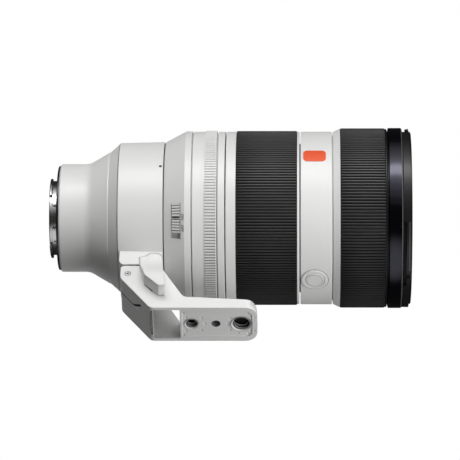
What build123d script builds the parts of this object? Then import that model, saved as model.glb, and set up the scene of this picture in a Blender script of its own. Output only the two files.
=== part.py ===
from build123d import *
import math
import os

os.makedirs("parts", exist_ok=True)

# A white telephoto zoom lens. The optical axis is X, which points at the subject. The origin
# is the middle of the mount face. Z points up, and the tripod foot hangs straight down.
# Angles round the axis start at +Y and turn towards +Z, so 180 is the near side and 270 is down.
NEAR = 180
VIEW = 225
DOWN = 270
FAR = 0
UP = 90
FULL_TURN = 360

# Fits and allowances
running_fit = 0.08      # play of a piece that turns or slides on another
side_play = 0.3         # gap between faces that pass each other
seam = 0.6              # gap that shows between neighbouring rings
overrun = 1.0           # how far a cut runs past the face that it opens
edge_break = 0.3        # small chamfer on turned edges

# Radii of the nested barrels, from the inside out
guide_outer = 42.4
guide_wall = 2.2
journal_step = 2.6      # down to the rear stretch, which the tripod collar turns on
journal_wall = 2.0
collar_wall = 3.6
sleeve_clearance = 3.1  # out to the sleeves that carry the aperture ring and the focus ring
sleeve_wall = 1.6
shell_margin = 3.8      # from the sleeves to the skin of the white rings
focus_rise = 1.9        # from the white rings to the crest of the focus grip
front_rise = 0.2        # from there to the glossy ring at the front

# Lengths along the axis, each ring after the one behind it
rear_barrel_length = 33.7
plate_thickness = 0.9
collar_length = 25.4
switch_length = 15.3
aperture_length = 13.7
index_length = 3.9
zoom_length = 41.4
button_length = 17.8
focus_length = 30.6
front_ring_length = 7.8
neck_length = 5.1

rear_barrel_start = plate_thickness
rear_barrel_end = rear_barrel_start + rear_barrel_length
collar_start = rear_barrel_end + side_play
collar_end = collar_start + collar_length
switch_start = collar_end + seam
switch_end = switch_start + switch_length
aperture_start = switch_end + seam
aperture_end = aperture_start + aperture_length
index_start = aperture_end + seam
index_end = index_start + index_length
zoom_start = index_end + seam
zoom_end = zoom_start + zoom_length
button_start = zoom_end + seam
button_end = button_start + button_length
focus_start = button_end + seam
focus_end = focus_start + focus_length
front_start = focus_end + seam
neck_start = front_start + front_ring_length
front_end = neck_start + neck_length

journal_radius = guide_outer - journal_step
collar_radius = journal_radius + collar_wall
sleeve_inner = guide_outer + sleeve_clearance
shell_radius = sleeve_inner + shell_margin
focus_radius = shell_radius + focus_rise
front_radius = focus_radius + front_rise
sleeve_outer = sleeve_inner + sleeve_wall
ring_inner = sleeve_outer + running_fit

# Mount: a chrome flange with a short tube and three bayonet lugs
mount_tube_radius = 21.2
mount_tube_wall = 2.2
mount_tube_length = 4.9
lug_reach = 1.8
lug_thickness = 1.6
lug_angle = 41
lug_places = (169.4, 49.4, 289.4)
flange_land = 5.6       # from the lugs to the flange's edge
gasket_margin = 1.1     # from there to the gasket's edge
throat_radius = mount_tube_radius - mount_tube_wall
lug_radius = mount_tube_radius + lug_reach
flange_radius = lug_radius + flange_land
gasket_radius = flange_radius + gasket_margin
gasket_lip = 0.4        # how far the soft lip stands behind the mount face
mount_screw_radius = 1.15
mount_screw_head = 0.4
mount_screw_places = (204.5, 241.0, 20.0, 100.0)
contact_block_thickness = 2.6
contact_block_angle = 92
contact_block_place = 270
contact_block_inset = 1.2
contact_count = 10
contact_pin_radius = 0.75
contact_pin_length = 0.5
contact_pitch = 8.2

# Rear barrel: a cylinder that flares in a cone up to the collar
rear_radius = 30.8
rear_edge = 0.7
rear_cylinder = 16.6
rear_blend = 9.0
ridge_radius = 37.5
ridge_back = 5.8        # from the fine ridge to the barrel's front edge
ridge_land = 0.5        # narrow band along the ridge that catches the light
rear_cone_radius = 42.3
rear_wall = 2.0
board_thickness = 1.6
board_seat = 8.0        # from the barrel's front edge back to the board
board_inner = 24.0

# Rear cell inside the mount, and its glass
rear_cell_length = 15.0
rear_cell_wall = 1.5
rear_cell_lip = 1.2
rear_glass_edge = 4.5
rear_glass_crown = 1.6

# Guide barrel: the fixed tube with the straight slots
web_thickness = 1.6
rear_web_inner = 31.0
front_web_inner = 35.5
rear_web_back = 9.0     # from the collar's front edge back to the rear web
roller_radius = 1.5
roller_reach = 2.4      # how far a roller runs into the cam barrel
roller_count = 3
barrel_socket = 1.4     # length of the joint between the rear barrel and the guide barrel

# Cam barrel under the zoom ring
cam_inner_gap = 0.6
cam_wall = 2.0
cam_land = 1.2
cam_end_margin = 0.4
zoom_turn = 66
cam_travel = 14.0
cam_margin = 3.1        # from the cam barrel's end to the middle of its first roller
cam_place = 30
compensator_place = 90

# Optical cells that slide
cell_wall = 3.2
cell_lip = 1.4
cell_length = 16.0
cell_setback = 13.0     # from the roller to the cell's far end
glass_edge = 5.0
variator_crown = -3.0
compensator_crown = 3.4
focus_cell_length = 8.0
focus_travel = 5.0
focus_cell_radius = 39.4
focus_glass_crown = 2.4
rod_radius = 1.0
rod_circle = 37.8
rod_places = (0, 180)
web_gap = 0.6

# Iris base plate behind the aperture
iris_plate_thickness = 2.0
iris_opening = 25.5

# Switch barrel and its sliding switches
switch_rise = 0.2       # above the neighbouring rings
switch_rear_radius = collar_radius + switch_rise
switch_radius = shell_radius + switch_rise
switch_cone_end = 11.7  # from the barrel's rear edge to the top of its cone
switch_seat = 3.0
switch_middle = 7.0     # from the barrel's rear edge to the middle of the switches
switch_travel = 3.7
switch_track_width = 5.3
switch_track_depth = 2.2
switch_knob_length = 16.2
switch_knob_width = 4.7
switch_knob_rise = 0.5
switch_rib_pitch = 1.55
switch_groove_width = 0.5
switch_rib_depth = 0.5
far_switch_places = (-17, 17)
far_knob_length = 9.2
far_switch_travel = 4.0

# Aperture ring with its fine knurl
knurl_start = 7.1
knurl_length = 6.2
knurl_rise = 0.7
knurl_depth = 0.55
knurl_count = 180
ring_chamfer = 0.6

# Zoom ring and its rubber grip
zoom_grip_start = 5.6
zoom_lip = 1.3
grip_base = 1.5         # depth of the seat that the rubber lies in
grip_rise = 0.4
grip_count = 180
grip_groove = 0.75
crest_share = 0.5
groove_share = 0.75
key_width = 2.0

# Button barrel with the focus-hold buttons and the badge plate
button_web = 3.4
button_middle = 7.9     # from the barrel's rear edge to the middle of the buttons
button_places = (DOWN, UP, FAR)
button_names = ("hold_button_bottom", "hold_button_top", "hold_button_side")
bezel_radius = 7.65
bezel_depth = 1.6
bezel_rise = 0.15
bezel_ridge_rise = 0.5
bezel_ridge_inset = 0.55    # from the bezel's edges to its raised ridge
button_radius = 5.25
button_thickness = 1.4
button_travel = 0.6
button_rise = 0.45
badge_length = 12.7
badge_width = 8.4
badge_corner = 2.4
badge_thickness = 0.35
badge_margin = 1.5      # from the barrel's rear edge to the plate

# Focus ring and its grip
focus_flare = 3.8
focus_flare_rise = 0.1
focus_flare_start = shell_radius + focus_flare_rise
focus_grip_start = 3.9
focus_lip = 1.0

# Front barrel, glossy ring, hood bayonet and filter thread
front_ring_seat = 1.9
neck_step = 2.3
neck_radius = front_radius - neck_step
filter_wall = 1.6
filter_radius = neck_radius - filter_wall
filter_depth = 4.6
front_step = 1.9
hood_flange_step = 0.5
hood_flange_radius = front_radius - hood_flange_step
hood_flange_start = 2.1
hood_flange_width = 1.8
hood_notch_angle = 16
hood_notch_places = (139, 259, 19)

# Front cell and its two glasses
front_cell_length = 30.0
front_cell_wall = 2.8
front_glass_edge = 6.0
front_glass_crown = 3.0
front_glass_back_crown = 1.6
second_glass_edge = 4.0
second_glass_crown = 3.6
second_glass_hollow = -5.0
front_gap = 3.2
retainer_thickness = 1.5

# Tripod collar with its boss, and the knob that clamps it
collar_taper = 0.6
collar_rear_radius = collar_radius - collar_taper
boss_half_width = 14.2
boss_rear_step = 1.2
boss_height = 7.4
boss_reach = collar_radius + boss_height
boss_corner = 3.0
index_dot_radius = 0.45
index_dot_depth = 0.2
index_dot_angle = 2.8
knob_boss_radius = 7.5
knob_boss_height = 3.1
knob_boss_reach = collar_radius + knob_boss_height
knob_radius = 8.6
knob_length = 9.0
knob_flutes = 16
knob_flute_radius = 1.0
knob_stem_radius = 2.5
knob_stem_depth = 3.4

# Dovetail between the boss and the foot
dovetail_height = 3.4
dovetail_neck = 6.6
dovetail_flare = 1.5
dovetail_stop = 3.0
foot_gap = 0.5

# Foot: an arm like a channel, and a bar that the tripod plate meets
foot_half_width = 13.4
foot_wall = 2.0
foot_rear_wall = 1.3
foot_top_thickness = 3.0
foot_rear = 37.1
foot_arm_front = 59.5
foot_rear_drop = 9.2    # straight stretch of the rear edge
foot_knee = 2.0
foot_knee_drop = 4.3
foot_height = 32.7
foot_base = boss_reach + foot_height
foot_base_start = 54.4
foot_bar_start = 72.5
foot_bar_rear_height = 8.5
foot_bar_front_height = 5.9
foot_length_end = 113.7
foot_corner_small = 2.0
foot_corner_knee = 6.0
foot_corner_base = 4.0
foot_corner_inner = 4.0
foot_corner_front = 4.0
foot_plan_corner = 7.0
foot_window_end = 70.7
foot_groove_width = 0.7
foot_slot_width = 1.4
foot_slot_start = 44.4
foot_slot_length = 5.0
foot_seam_offset = -2.0
foot_slide_travel = 24.0
quarter_place = 77.1
quarter_radius = 3.175
quarter_rim = 3.95
quarter_pocket = 5.8
quarter_break = 0.3
guide_hole_place = 90.6
guide_hole_radius = 2.5
guide_hole_depth = 4.0
guide_hole_break = 0.4
drill_point_angle = 118
three_eighth_place = 104.7
three_eighth_radius = 4.76
three_eighth_rim = 5.75
three_eighth_pocket = 5.4
three_eighth_break = 0.5
insert_mouth = 0.8
insert_floor = 0.6
foot_screw_place = 41.2
foot_screw_drop = 6.5
foot_screw_height = boss_reach + foot_screw_drop
foot_screw_radius = 1.8
foot_screw_depth = 1.2
foot_screw_socket = 0.7

# Quick-release lever on the near side of the boss
lever_pivot_x = 55.5
lever_pivot_rise = 3.8  # above the boss's lower face
lever_pivot_drop = boss_reach - lever_pivot_rise
lever_pin_radius = 1.6
lever_hub_radius = 5.0
lever_recess = 1.8
lever_disc_radius = 3.4
lever_tip_rise = 1.7
lever_back_drop = 9.0
lever_elbow_drop = 19.0
lever_length = 27.3
lever_tip = (47.3, lever_pivot_drop - lever_tip_rise)
lever_back = (48.4, lever_pivot_drop + lever_back_drop)
lever_elbow = (50.8, lever_pivot_drop + lever_elbow_drop)
lever_end = lever_pivot_drop + lever_length
lever_end_rear = 58.7
lever_end_front = 62.5
lever_neck_front = 60.6
lever_neck_length = 4.5
lever_neck_drop = lever_pivot_drop + lever_neck_length
lever_flare = 7.8
lever_flare_rise = 0.5
lever_flare_start = lever_pivot_drop - lever_flare_rise
lever_shoulder_angle = 144
lever_pin_depth = 3.6


# Tools for turned and radial shapes

def turned(*outline):
    """A ring turned about the optical axis from the (x, radius) points of its outline."""
    return revolve(Plane.XZ * make_face(Polyline(*outline, close=True)), Axis.X)


def tube(start, end, inner, outer):
    """A plain ring between two places on the axis."""
    return turned((start, inner), (end, inner), (end, outer), (start, outer))


def radial(x, radius, angle):
    """A plane at a radius, which faces away from the optical axis."""
    across, up = math.cos(math.radians(angle)), math.sin(math.radians(angle))
    return Plane(origin=(x, radius * across, radius * up), x_dir=(1, 0, 0), z_dir=(0, across, up))


def spoke(x, inner, outer, angle, radius):
    """A round pin that points away from the optical axis."""
    upright = (Align.CENTER, Align.CENTER, Align.MIN)
    return radial(x, inner, angle) * Cylinder(radius, outer - inner, align=upright)


def rod(start, end, place_radius, angle, radius):
    """A round bar that lies along the optical axis."""
    across, up = math.cos(math.radians(angle)), math.sin(math.radians(angle))
    plane = Plane(origin=(start, place_radius * across, place_radius * up), x_dir=(0, 1, 0), z_dir=(1, 0, 0))
    return plane * Cylinder(radius, end - start, align=(Align.CENTER, Align.CENTER, Align.MIN))


def sector(start, end, inner, outer, middle, width):
    """A stretch of a ring, width degrees wide about its middle angle."""
    face = Plane.XZ * make_face(Polyline((start, inner), (end, inner), (end, outer), (start, outer), close=True))
    # an outline in this plane starts at the top of the lens, and turns towards the near side
    face = Rotation(middle - width / 2 - UP, 0, 0) * face
    return revolve(face, Axis.X, width)


def side_plate(outline, y_from, y_to):
    """A plate seen from the side, cut out along an outline of (x, z) points."""
    plane = Plane(origin=(0, y_to, 0), x_dir=(1, 0, 0), z_dir=(0, -1, 0))
    return extrude(plane * make_face(outline), amount=y_to - y_from)


def crown_arc(edge_x, radius, crown):
    """Half of a spherical face, from its middle on the axis out to its edge."""
    sphere = (radius ** 2 + crown ** 2) / (2 * abs(crown))
    half = math.asin(radius / sphere) / 2
    side = math.copysign(1, crown)
    middle = edge_x + crown - side * sphere
    halfway = (middle + side * sphere * math.cos(half), sphere * math.sin(half))
    return ThreePointArc((edge_x + crown, 0), halfway, (edge_x, radius))


def glass(start, edge, radius, rear_crown, front_crown):
    """A lens element with two spherical faces, and a flat ground rim that it seats on."""
    inner = radius - cell_lip
    rear = crown_arc(start, inner, -rear_crown)
    front = crown_arc(start + edge, inner, front_crown)
    rim = Polyline((start, inner), (start, radius), (start + edge, radius), (start + edge, inner))
    middle = Line((start - rear_crown, 0), (start + edge + front_crown, 0))
    return revolve(Plane.XZ * make_face([rear, *rim.edges(), front, middle]), Axis.X)


def ribbed(start, end, inner, crest, depth, count):
    """A sleeve with flat-topped ribs along it, parted by V grooves."""
    step = FULL_TURN / count
    points = []
    for index in range(count):
        for share, radius in ((0, crest), (crest_share, crest), (groove_share, crest - depth)):
            angle = math.radians((index + share) * step)
            points.append((radius * math.cos(angle), radius * math.sin(angle)))
    plane = Plane(origin=(start, 0, 0), x_dir=(0, 1, 0), z_dir=(1, 0, 0))
    face = make_face(Polyline(*points, close=True)) - Circle(inner)
    return extrude(plane * face, amount=end - start)


def save(shape, name):
    export_step(shape, f"parts/{name}.step")


# Mount and what sits in it

def mount_flange():
    body = turned(
        (-mount_tube_length, throat_radius), (plate_thickness, throat_radius),
        (plate_thickness, flange_radius), (0, flange_radius),
        (0, mount_tube_radius), (-mount_tube_length, mount_tube_radius))
    for place in lug_places:
        body += sector(-mount_tube_length, lug_thickness - mount_tube_length,
                       (throat_radius + mount_tube_radius) / 2, lug_radius, place, lug_angle)
    for place in mount_screw_places:
        body -= mount_screw(place)
    return body


def mount_screw(place):
    middle = -(mount_tube_length - lug_thickness) / 2
    floor = throat_radius + (mount_tube_radius - throat_radius) / 2
    return spoke(middle, floor, mount_tube_radius + mount_screw_head, place, mount_screw_radius)


def mount_screws():
    return Compound(children=[mount_screw(place) for place in mount_screw_places])


def mount_gasket():
    return turned(
        (0, flange_radius), (plate_thickness, flange_radius), (plate_thickness, gasket_radius),
        (-gasket_lip / 2, gasket_radius), (-gasket_lip, (flange_radius + gasket_radius) / 2))


def rear_cell():
    """The black tube inside the mount, which holds the rear glass."""
    outer = throat_radius
    inner = outer - rear_cell_wall
    end = rear_cell_length - mount_tube_length
    seat = end - rear_cell_lip - rear_glass_edge
    return turned(
        (contact_block_inset + contact_block_thickness, inner - rear_cell_lip), (seat, inner - rear_cell_lip),
        (seat, inner), (end, inner), (end, outer + rear_cell_lip), (plate_thickness, outer + rear_cell_lip),
        (plate_thickness, outer), (contact_block_inset + contact_block_thickness, outer))


def rear_glass():
    inner = throat_radius - rear_cell_wall
    end = rear_cell_length - mount_tube_length
    return glass(end - rear_cell_lip - rear_glass_edge, rear_glass_edge, inner, rear_glass_crown, rear_glass_crown)


def contact_block():
    start = contact_block_inset
    inner = throat_radius - contact_block_thickness - contact_pin_radius * 2
    return sector(start, start + contact_block_thickness, inner, throat_radius, contact_block_place,
                  contact_block_angle)


def contact_pins():
    circle = throat_radius - (contact_block_thickness + contact_pin_radius * 2) / 2
    first = contact_block_place - contact_pitch * (contact_count - 1) / 2
    pins = [rod(contact_block_inset - contact_pin_length, contact_block_inset, circle,
                first + contact_pitch * index, contact_pin_radius) for index in range(contact_count)]
    return Compound(children=pins)


def main_board():
    """The circuit board, a ring across the inside of the rear barrel."""
    place = rear_barrel_end - board_seat
    outer = ridge_inner_radius(place) - side_play
    return tube(place, place + board_thickness, board_inner, outer)


# Fixed barrels

def ridge_inner_radius(x):
    """Radius of the rear barrel's inner cone."""
    cone_start = rear_barrel_start + rear_cylinder
    slope = (ridge_radius - rear_radius) / (ridge_place() - cone_start)
    return rear_radius - rear_wall + slope * (x - cone_start)


def ridge_place():
    return rear_barrel_end - ridge_back


def rear_barrel():
    start, end = rear_barrel_start, rear_barrel_end
    cone_start = start + rear_cylinder
    socket = end - barrel_socket
    seat = journal_radius - journal_wall
    ridge = ridge_place()
    outline = Polyline(
        (start, throat_radius + rear_cell_lip), (start, rear_radius - rear_edge),
        (start + rear_edge, rear_radius), (cone_start, rear_radius), (ridge, ridge_radius),
        (ridge + ridge_land, ridge_radius), (end, rear_cone_radius), (end, journal_radius),
        (socket, journal_radius), (socket, seat), (ridge, ridge_inner_radius(ridge)),
        (cone_start, rear_radius - rear_wall),
        (start + rear_wall * 2, rear_radius - rear_wall), (start + rear_wall * 2, throat_radius + rear_cell_lip),
        close=True)
    body = revolve(Plane.XZ * make_face(outline), Axis.X)
    soft = body.edges().filter_by(GeomType.CIRCLE).filter_by_position(Axis.X, cone_start, cone_start)
    soft = soft.sort_by(lambda edge: edge.radius)[-1]
    body = fillet([soft], rear_blend)
    rear_rim = body.edges().filter_by(GeomType.CIRCLE).sort_by(lambda edge: edge.radius)
    rim = [edge for edge in rear_rim if abs(edge.radius - rear_radius) < edge_break / 2
           and abs(edge.center().X - start - rear_edge) < edge_break / 2]
    body = fillet(rim, rear_edge)
    tray = main_board_seat()
    return body + tray


def main_board_seat():
    """A small ledge in the rear barrel that the board lies on."""
    place = rear_barrel_end - board_seat
    outer = ridge_inner_radius(place - web_thickness) + rear_wall / 2
    return tube(place - web_thickness, place, ridge_inner_radius(place) - rear_wall * 2, outer)


cam_start = zoom_start + cam_end_margin
cam_end = zoom_end - cam_end_margin
variator_x = cam_start + cam_margin
compensator_x = cam_end - cam_margin
guide_front = button_end + focus_grip_start
guide_inner = guide_outer - guide_wall
rear_web_x = collar_end - rear_web_back
front_web_x = compensator_x + cell_setback + running_fit
front_focus_x = front_web_x + web_thickness + web_gap
rear_focus_x = rear_web_x + web_thickness + web_gap
iris_x = rear_focus_x + focus_cell_length + focus_travel + web_gap


def roller_places(first):
    return [first + FULL_TURN / roller_count * index for index in range(roller_count)]


def guide_slot(x_from, x_to, place):
    """A straight slot with round ends, along the guide barrel."""
    half = roller_radius + running_fit
    inner, outer = guide_inner - overrun, guide_outer + overrun
    middle = radial((x_from + x_to) / 2, inner, place)
    straight = middle * Box(x_to - x_from, half * 2, outer - inner, align=(Align.CENTER, Align.CENTER, Align.MIN))
    return straight + spoke(x_from, inner, outer, place, half) + spoke(x_to, inner, outer, place, half)


def guide_barrel():
    start = rear_barrel_end - barrel_socket
    step = collar_end + seam
    inner = journal_radius - journal_wall
    body = turned(
        (start, inner), (step, inner), (step + guide_wall, guide_inner), (guide_front, guide_inner),
        (guide_front, guide_outer), (step, guide_outer), (step, journal_radius), (start, journal_radius))
    rear_web = tube(rear_web_x, rear_web_x + web_thickness, rear_web_inner, inner + journal_wall / 2)
    front_web = tube(front_web_x, front_web_x + web_thickness, front_web_inner, guide_inner + guide_wall / 2)
    body += rear_web
    body += front_web
    for place in roller_places(cam_place):
        body -= guide_slot(variator_x, variator_x + cam_travel, place)
    for place in roller_places(compensator_place):
        body -= guide_slot(compensator_x - cam_travel, compensator_x, place)
    for place in rod_places:
        body -= rod(rear_web_x - overrun, rear_web_x + web_thickness + overrun, rear_rod_circle(), place, rod_radius)
        body -= rod(front_web_x - overrun, front_web_x + web_thickness + overrun, rod_circle, place, rod_radius)
    return body


def rear_rod_circle():
    """The rear rods stand in the narrower part of the guide barrel."""
    return (rear_web_inner + journal_radius - journal_wall) / 2


def switch_barrel():
    cone_end = switch_start + switch_cone_end
    body = turned(
        (switch_start, guide_outer), (switch_start + switch_seat, guide_outer), (cone_end, sleeve_inner),
        (index_start, sleeve_inner), (index_start, sleeve_outer), (switch_end, sleeve_outer),
        (switch_end, switch_radius - edge_break), (switch_end - edge_break, switch_radius),
        (cone_end, switch_radius), (switch_start + edge_break * 2, switch_rear_radius),
        (switch_start, switch_rear_radius - edge_break * 2))
    body -= switch_track(VIEW, switch_knob_length, switch_travel)
    for place in far_switch_places:
        body -= switch_track(place, far_knob_length, far_switch_travel)
    return body


def cone_radius(x):
    """Outer radius of the switch barrel's cone."""
    start = switch_start + edge_break * 2
    rise = (switch_radius - switch_rear_radius) / (switch_start + switch_cone_end - start)
    return switch_rear_radius + rise * (x - start)


def angle_of(length):
    """The angle that a length takes up on the cone, at the middle of the switches."""
    return math.degrees(length / cone_radius(switch_start + switch_middle))


def cone_band(depth_from, depth_to, x_from, x_to, middle, width):
    """A patch of the cone between two depths, measured from its surface."""
    outline = Polyline(
        (x_from, cone_radius(x_from) + depth_from), (x_to, cone_radius(x_to) + depth_from),
        (x_to, cone_radius(x_to) + depth_to), (x_from, cone_radius(x_from) + depth_to), close=True)
    face = Rotation(middle - width / 2 - UP, 0, 0) * (Plane.XZ * make_face(outline))
    return revolve(face, Axis.X, width)


def switch_track(knob_middle, knob_length, travel):
    """The recess that a slider moves in. Its free end lies beyond the knob."""
    x = switch_start + switch_middle
    half = switch_track_width / 2
    length = knob_length + travel + side_play
    middle = knob_middle + angle_of(travel / 2)
    return cone_band(-switch_track_depth, overrun, x - half, x + half, middle, angle_of(length))


def switch_knob(middle, length):
    """A ribbed slider that lies in its track."""
    x = switch_start + switch_middle
    half = switch_knob_width / 2
    knob = cone_band(running_fit - switch_track_depth, switch_knob_rise, x - half, x + half, middle, angle_of(length))
    count = int(length / switch_rib_pitch)
    for index in range(count):
        place = middle + angle_of(switch_rib_pitch) * (index - (count - 1) / 2)
        knob -= cone_band(switch_knob_rise - switch_rib_depth, switch_knob_rise + overrun,
                          x - half - overrun, x + half + overrun, place, angle_of(switch_groove_width))
    return knob


def index_ring():
    return turned(
        (index_start, guide_outer), (index_end, guide_outer), (index_end, shell_radius - edge_break),
        (index_end - edge_break, shell_radius), (index_start + edge_break, shell_radius),
        (index_start, shell_radius - edge_break))


def button_pocket(place, radius):
    x = button_start + button_middle
    return spoke(x, shell_radius - bezel_depth - button_travel, shell_radius + overrun, place, radius)


def button_barrel():
    start, end = button_start, button_end
    body = turned(
        (start, guide_outer), (start + button_web, guide_outer), (start + button_web, sleeve_inner),
        (focus_end, sleeve_inner), (focus_end, sleeve_outer), (end, sleeve_outer),
        (end, shell_radius - edge_break), (end - edge_break, shell_radius),
        (start + edge_break, shell_radius), (start, shell_radius - edge_break))
    for place in button_places:
        body -= button_pocket(place, bezel_radius)
    return body


def button_bezels():
    x = button_start + button_middle
    floor = shell_radius - bezel_depth - button_travel
    rings = []
    for place in button_places:
        ring = None
        for inset, rise in ((0, bezel_rise), (bezel_ridge_inset, bezel_ridge_rise)):
            step = spoke(x, floor, shell_radius + overrun, place, bezel_radius - inset)
            step -= spoke(x, floor - overrun, shell_radius + overrun * 2, place, button_radius + running_fit + inset)
            step = step & tube(x - bezel_radius, x + bezel_radius, floor - overrun, shell_radius + rise)
            ring = ring + step if ring else step
        rings.append(ring)
    return Compound(children=rings)


def hold_button(place):
    """A round cap with a softly crowned face."""
    x = button_start + button_middle
    top = shell_radius + button_rise
    cap = spoke(x, top - button_thickness, top, place, button_radius)
    crest = cap.edges().filter_by(GeomType.CIRCLE).sort_by(lambda edge: edge.center().length)[-1]
    return fillet([crest], button_rise)


def badge_plate():
    middle = button_start + badge_margin + badge_length / 2
    plane = radial(middle, shell_radius - overrun * 2, NEAR)
    blank = extrude(plane * RectangleRounded(badge_length, badge_width, badge_corner), amount=overrun * 4)
    return blank & tube(middle - badge_length, middle + badge_length, shell_radius, shell_radius + badge_thickness)


# Rings that turn

def aperture_ring():
    start, end = aperture_start, aperture_end
    rim = shell_radius
    body = turned(
        (start, ring_inner), (end, ring_inner), (end, rim - ring_chamfer), (end - ring_chamfer, rim),
        (start + knurl_start + knurl_length, rim), (start + knurl_start + knurl_length, rim - knurl_depth),
        (start + knurl_start, rim - knurl_depth), (start + knurl_start, rim),
        (start + edge_break, rim), (start, rim - edge_break))
    knurl = ribbed(start + knurl_start, start + knurl_start + knurl_length, rim - knurl_depth,
                   rim + knurl_rise - edge_break / 2, knurl_depth, knurl_count)
    return body + knurl


def zoom_ring():
    start, end = zoom_start, zoom_end
    seat = shell_radius - grip_base
    cam_outer = guide_outer + cam_inner_gap + cam_wall
    return turned(
        (start, cam_outer), (start + key_width, cam_outer), (start + key_width, ring_inner),
        (end, ring_inner), (end, shell_radius - ring_chamfer), (end - ring_chamfer, shell_radius),
        (end - zoom_lip, shell_radius), (end - zoom_lip, seat), (start + zoom_grip_start, seat),
        (start + zoom_grip_start, shell_radius), (start + edge_break, shell_radius),
        (start, shell_radius - edge_break))


def zoom_grip():
    return ribbed(zoom_start + zoom_grip_start, zoom_end - zoom_lip, shell_radius - grip_base,
                  shell_radius + grip_rise, grip_groove, grip_count)


def cam_slot(x_from, x_to, angle_from, angle_to):
    """A slot that winds round the cam barrel at a steady lead."""
    inner = guide_outer
    outer = guide_outer + cam_inner_gap + cam_wall + overrun
    middle_radius = (inner + outer) / 2
    lead = math.atan2(x_to - x_from, middle_radius * math.radians(abs(angle_to - angle_from)))
    width = math.degrees((roller_radius + running_fit) * 2 / math.sin(lead) / middle_radius)
    reach = (roller_radius + running_fit) / (x_to - x_from)
    twist = (angle_to - angle_from) * (1 + 2 * reach)
    start = x_from - (x_to - x_from) * reach
    length = (x_to - x_from) * (1 + 2 * reach)
    first = angle_from - (angle_to - angle_from) * reach
    half = math.radians(width / 2)
    plane = Plane(origin=(start, 0, 0), x_dir=(0, math.cos(math.radians(first)), math.sin(math.radians(first))),
                  z_dir=(1, 0, 0))
    bite = make_face([
        Line((inner * math.cos(half), -inner * math.sin(half)), (outer * math.cos(half), -outer * math.sin(half))),
        ThreePointArc((outer * math.cos(half), -outer * math.sin(half)), (outer, 0),
                      (outer * math.cos(half), outer * math.sin(half))),
        Line((outer * math.cos(half), outer * math.sin(half)), (inner * math.cos(half), inner * math.sin(half))),
        ThreePointArc((inner * math.cos(half), inner * math.sin(half)), (inner, 0),
                      (inner * math.cos(half), -inner * math.sin(half)))])
    face = (plane * bite).faces()[0]
    return Solid.extrude_linear_with_rotation(face, (start, 0, 0), (length, 0, 0), twist)


def cam_barrel():
    """The turning barrel whose winding slots move the two zoom cells."""
    inner = guide_outer + cam_inner_gap
    land = guide_outer + running_fit
    body = turned(
        (cam_start, land), (cam_start + cam_land, land), (cam_start + cam_land, inner),
        (cam_end - cam_land, inner), (cam_end - cam_land, land), (cam_end, land),
        (cam_end, inner + cam_wall), (cam_start, inner + cam_wall))
    for place in roller_places(cam_place):
        body -= cam_slot(variator_x, variator_x + cam_travel, place, place - zoom_turn)
    for place in roller_places(compensator_place):
        body -= cam_slot(compensator_x - cam_travel, compensator_x, place - zoom_turn, place)
    return body


def focus_ring():
    start, end = focus_start, focus_end
    seat = shell_radius - edge_break
    grip_end = end - focus_lip
    rim = focus_radius - edge_break
    return turned(
        (start, ring_inner), (end, ring_inner), (end, rim - ring_chamfer), (end - ring_chamfer, rim),
        (grip_end, rim), (grip_end, seat), (start + focus_grip_start, seat), (start + focus_grip_start, rim),
        (start + focus_flare, rim), (start, focus_flare_start - edge_break))


def focus_grip():
    return ribbed(focus_start + focus_grip_start, focus_end - focus_lip, shell_radius - edge_break,
                  focus_radius, grip_groove, grip_count)


# Front of the lens

filter_floor = front_end - filter_depth
cell_front = filter_floor - front_step + edge_break


def front_barrel():
    """The black barrel end with the hood bayonet outside and the filter thread inside."""
    seat = front_radius - front_ring_seat
    body = turned(
        (focus_end, sleeve_inner), (cell_front, sleeve_inner), (filter_floor, filter_radius - front_step),
        (filter_floor, filter_radius), (front_end - edge_break, filter_radius),
        (front_end, filter_radius + edge_break), (front_end, neck_radius - edge_break),
        (front_end - edge_break, neck_radius), (neck_start, neck_radius), (neck_start, seat),
        (front_start, seat), (front_start, sleeve_outer), (focus_end, sleeve_outer))
    start = neck_start + hood_flange_start
    flange = tube(start, start + hood_flange_width, neck_radius - edge_break, hood_flange_radius)
    for place in hood_notch_places:
        flange -= sector(start - overrun, start + hood_flange_width + overrun, neck_radius - overrun,
                         hood_flange_radius + overrun, place, hood_notch_angle)
    return body + flange


def front_ring():
    seat = front_radius - front_ring_seat
    return turned(
        (front_start, seat), (neck_start, seat), (neck_start, front_radius - ring_chamfer),
        (neck_start - ring_chamfer, front_radius), (front_start + ring_chamfer, front_radius),
        (front_start, front_radius - ring_chamfer))


front_glass_radius = sleeve_inner - front_cell_wall
retainer_start = cell_front - retainer_thickness
front_glass_start = retainer_start - front_glass_edge - edge_break
second_glass_start = front_glass_start - front_glass_back_crown - front_gap - second_glass_edge - second_glass_crown


def front_cell():
    """The tube that holds the two front glasses, on two steps."""
    start = cell_front - front_cell_length
    inner = front_glass_radius - cell_lip * 2
    step = front_glass_radius - cell_lip
    return turned(
        (start, front_web_inner), (start + web_thickness, front_web_inner), (start + web_thickness, inner),
        (second_glass_start, inner), (second_glass_start, step), (front_glass_start, step),
        (front_glass_start, front_glass_radius), (cell_front, front_glass_radius),
        (cell_front, sleeve_inner), (start, sleeve_inner))


def front_cell_with_holes():
    start = cell_front - front_cell_length
    body = front_cell()
    for place in rod_places:
        body -= rod(start - overrun, start + web_thickness, rod_circle, place, rod_radius)
    return body


def front_glass():
    return glass(front_glass_start, front_glass_edge, front_glass_radius, front_glass_back_crown, front_glass_crown)


def second_glass():
    return glass(second_glass_start, second_glass_edge, front_glass_radius - cell_lip,
                 second_glass_hollow, second_glass_crown)


def retaining_ring():
    """The bevelled ring that holds the front glass in its cell."""
    rim = front_glass_start + front_glass_edge
    return turned(
        (rim, front_glass_radius - cell_lip), (rim, front_glass_radius), (cell_front, front_glass_radius),
        (cell_front, front_glass_radius - edge_break))


# Cells that slide inside

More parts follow.
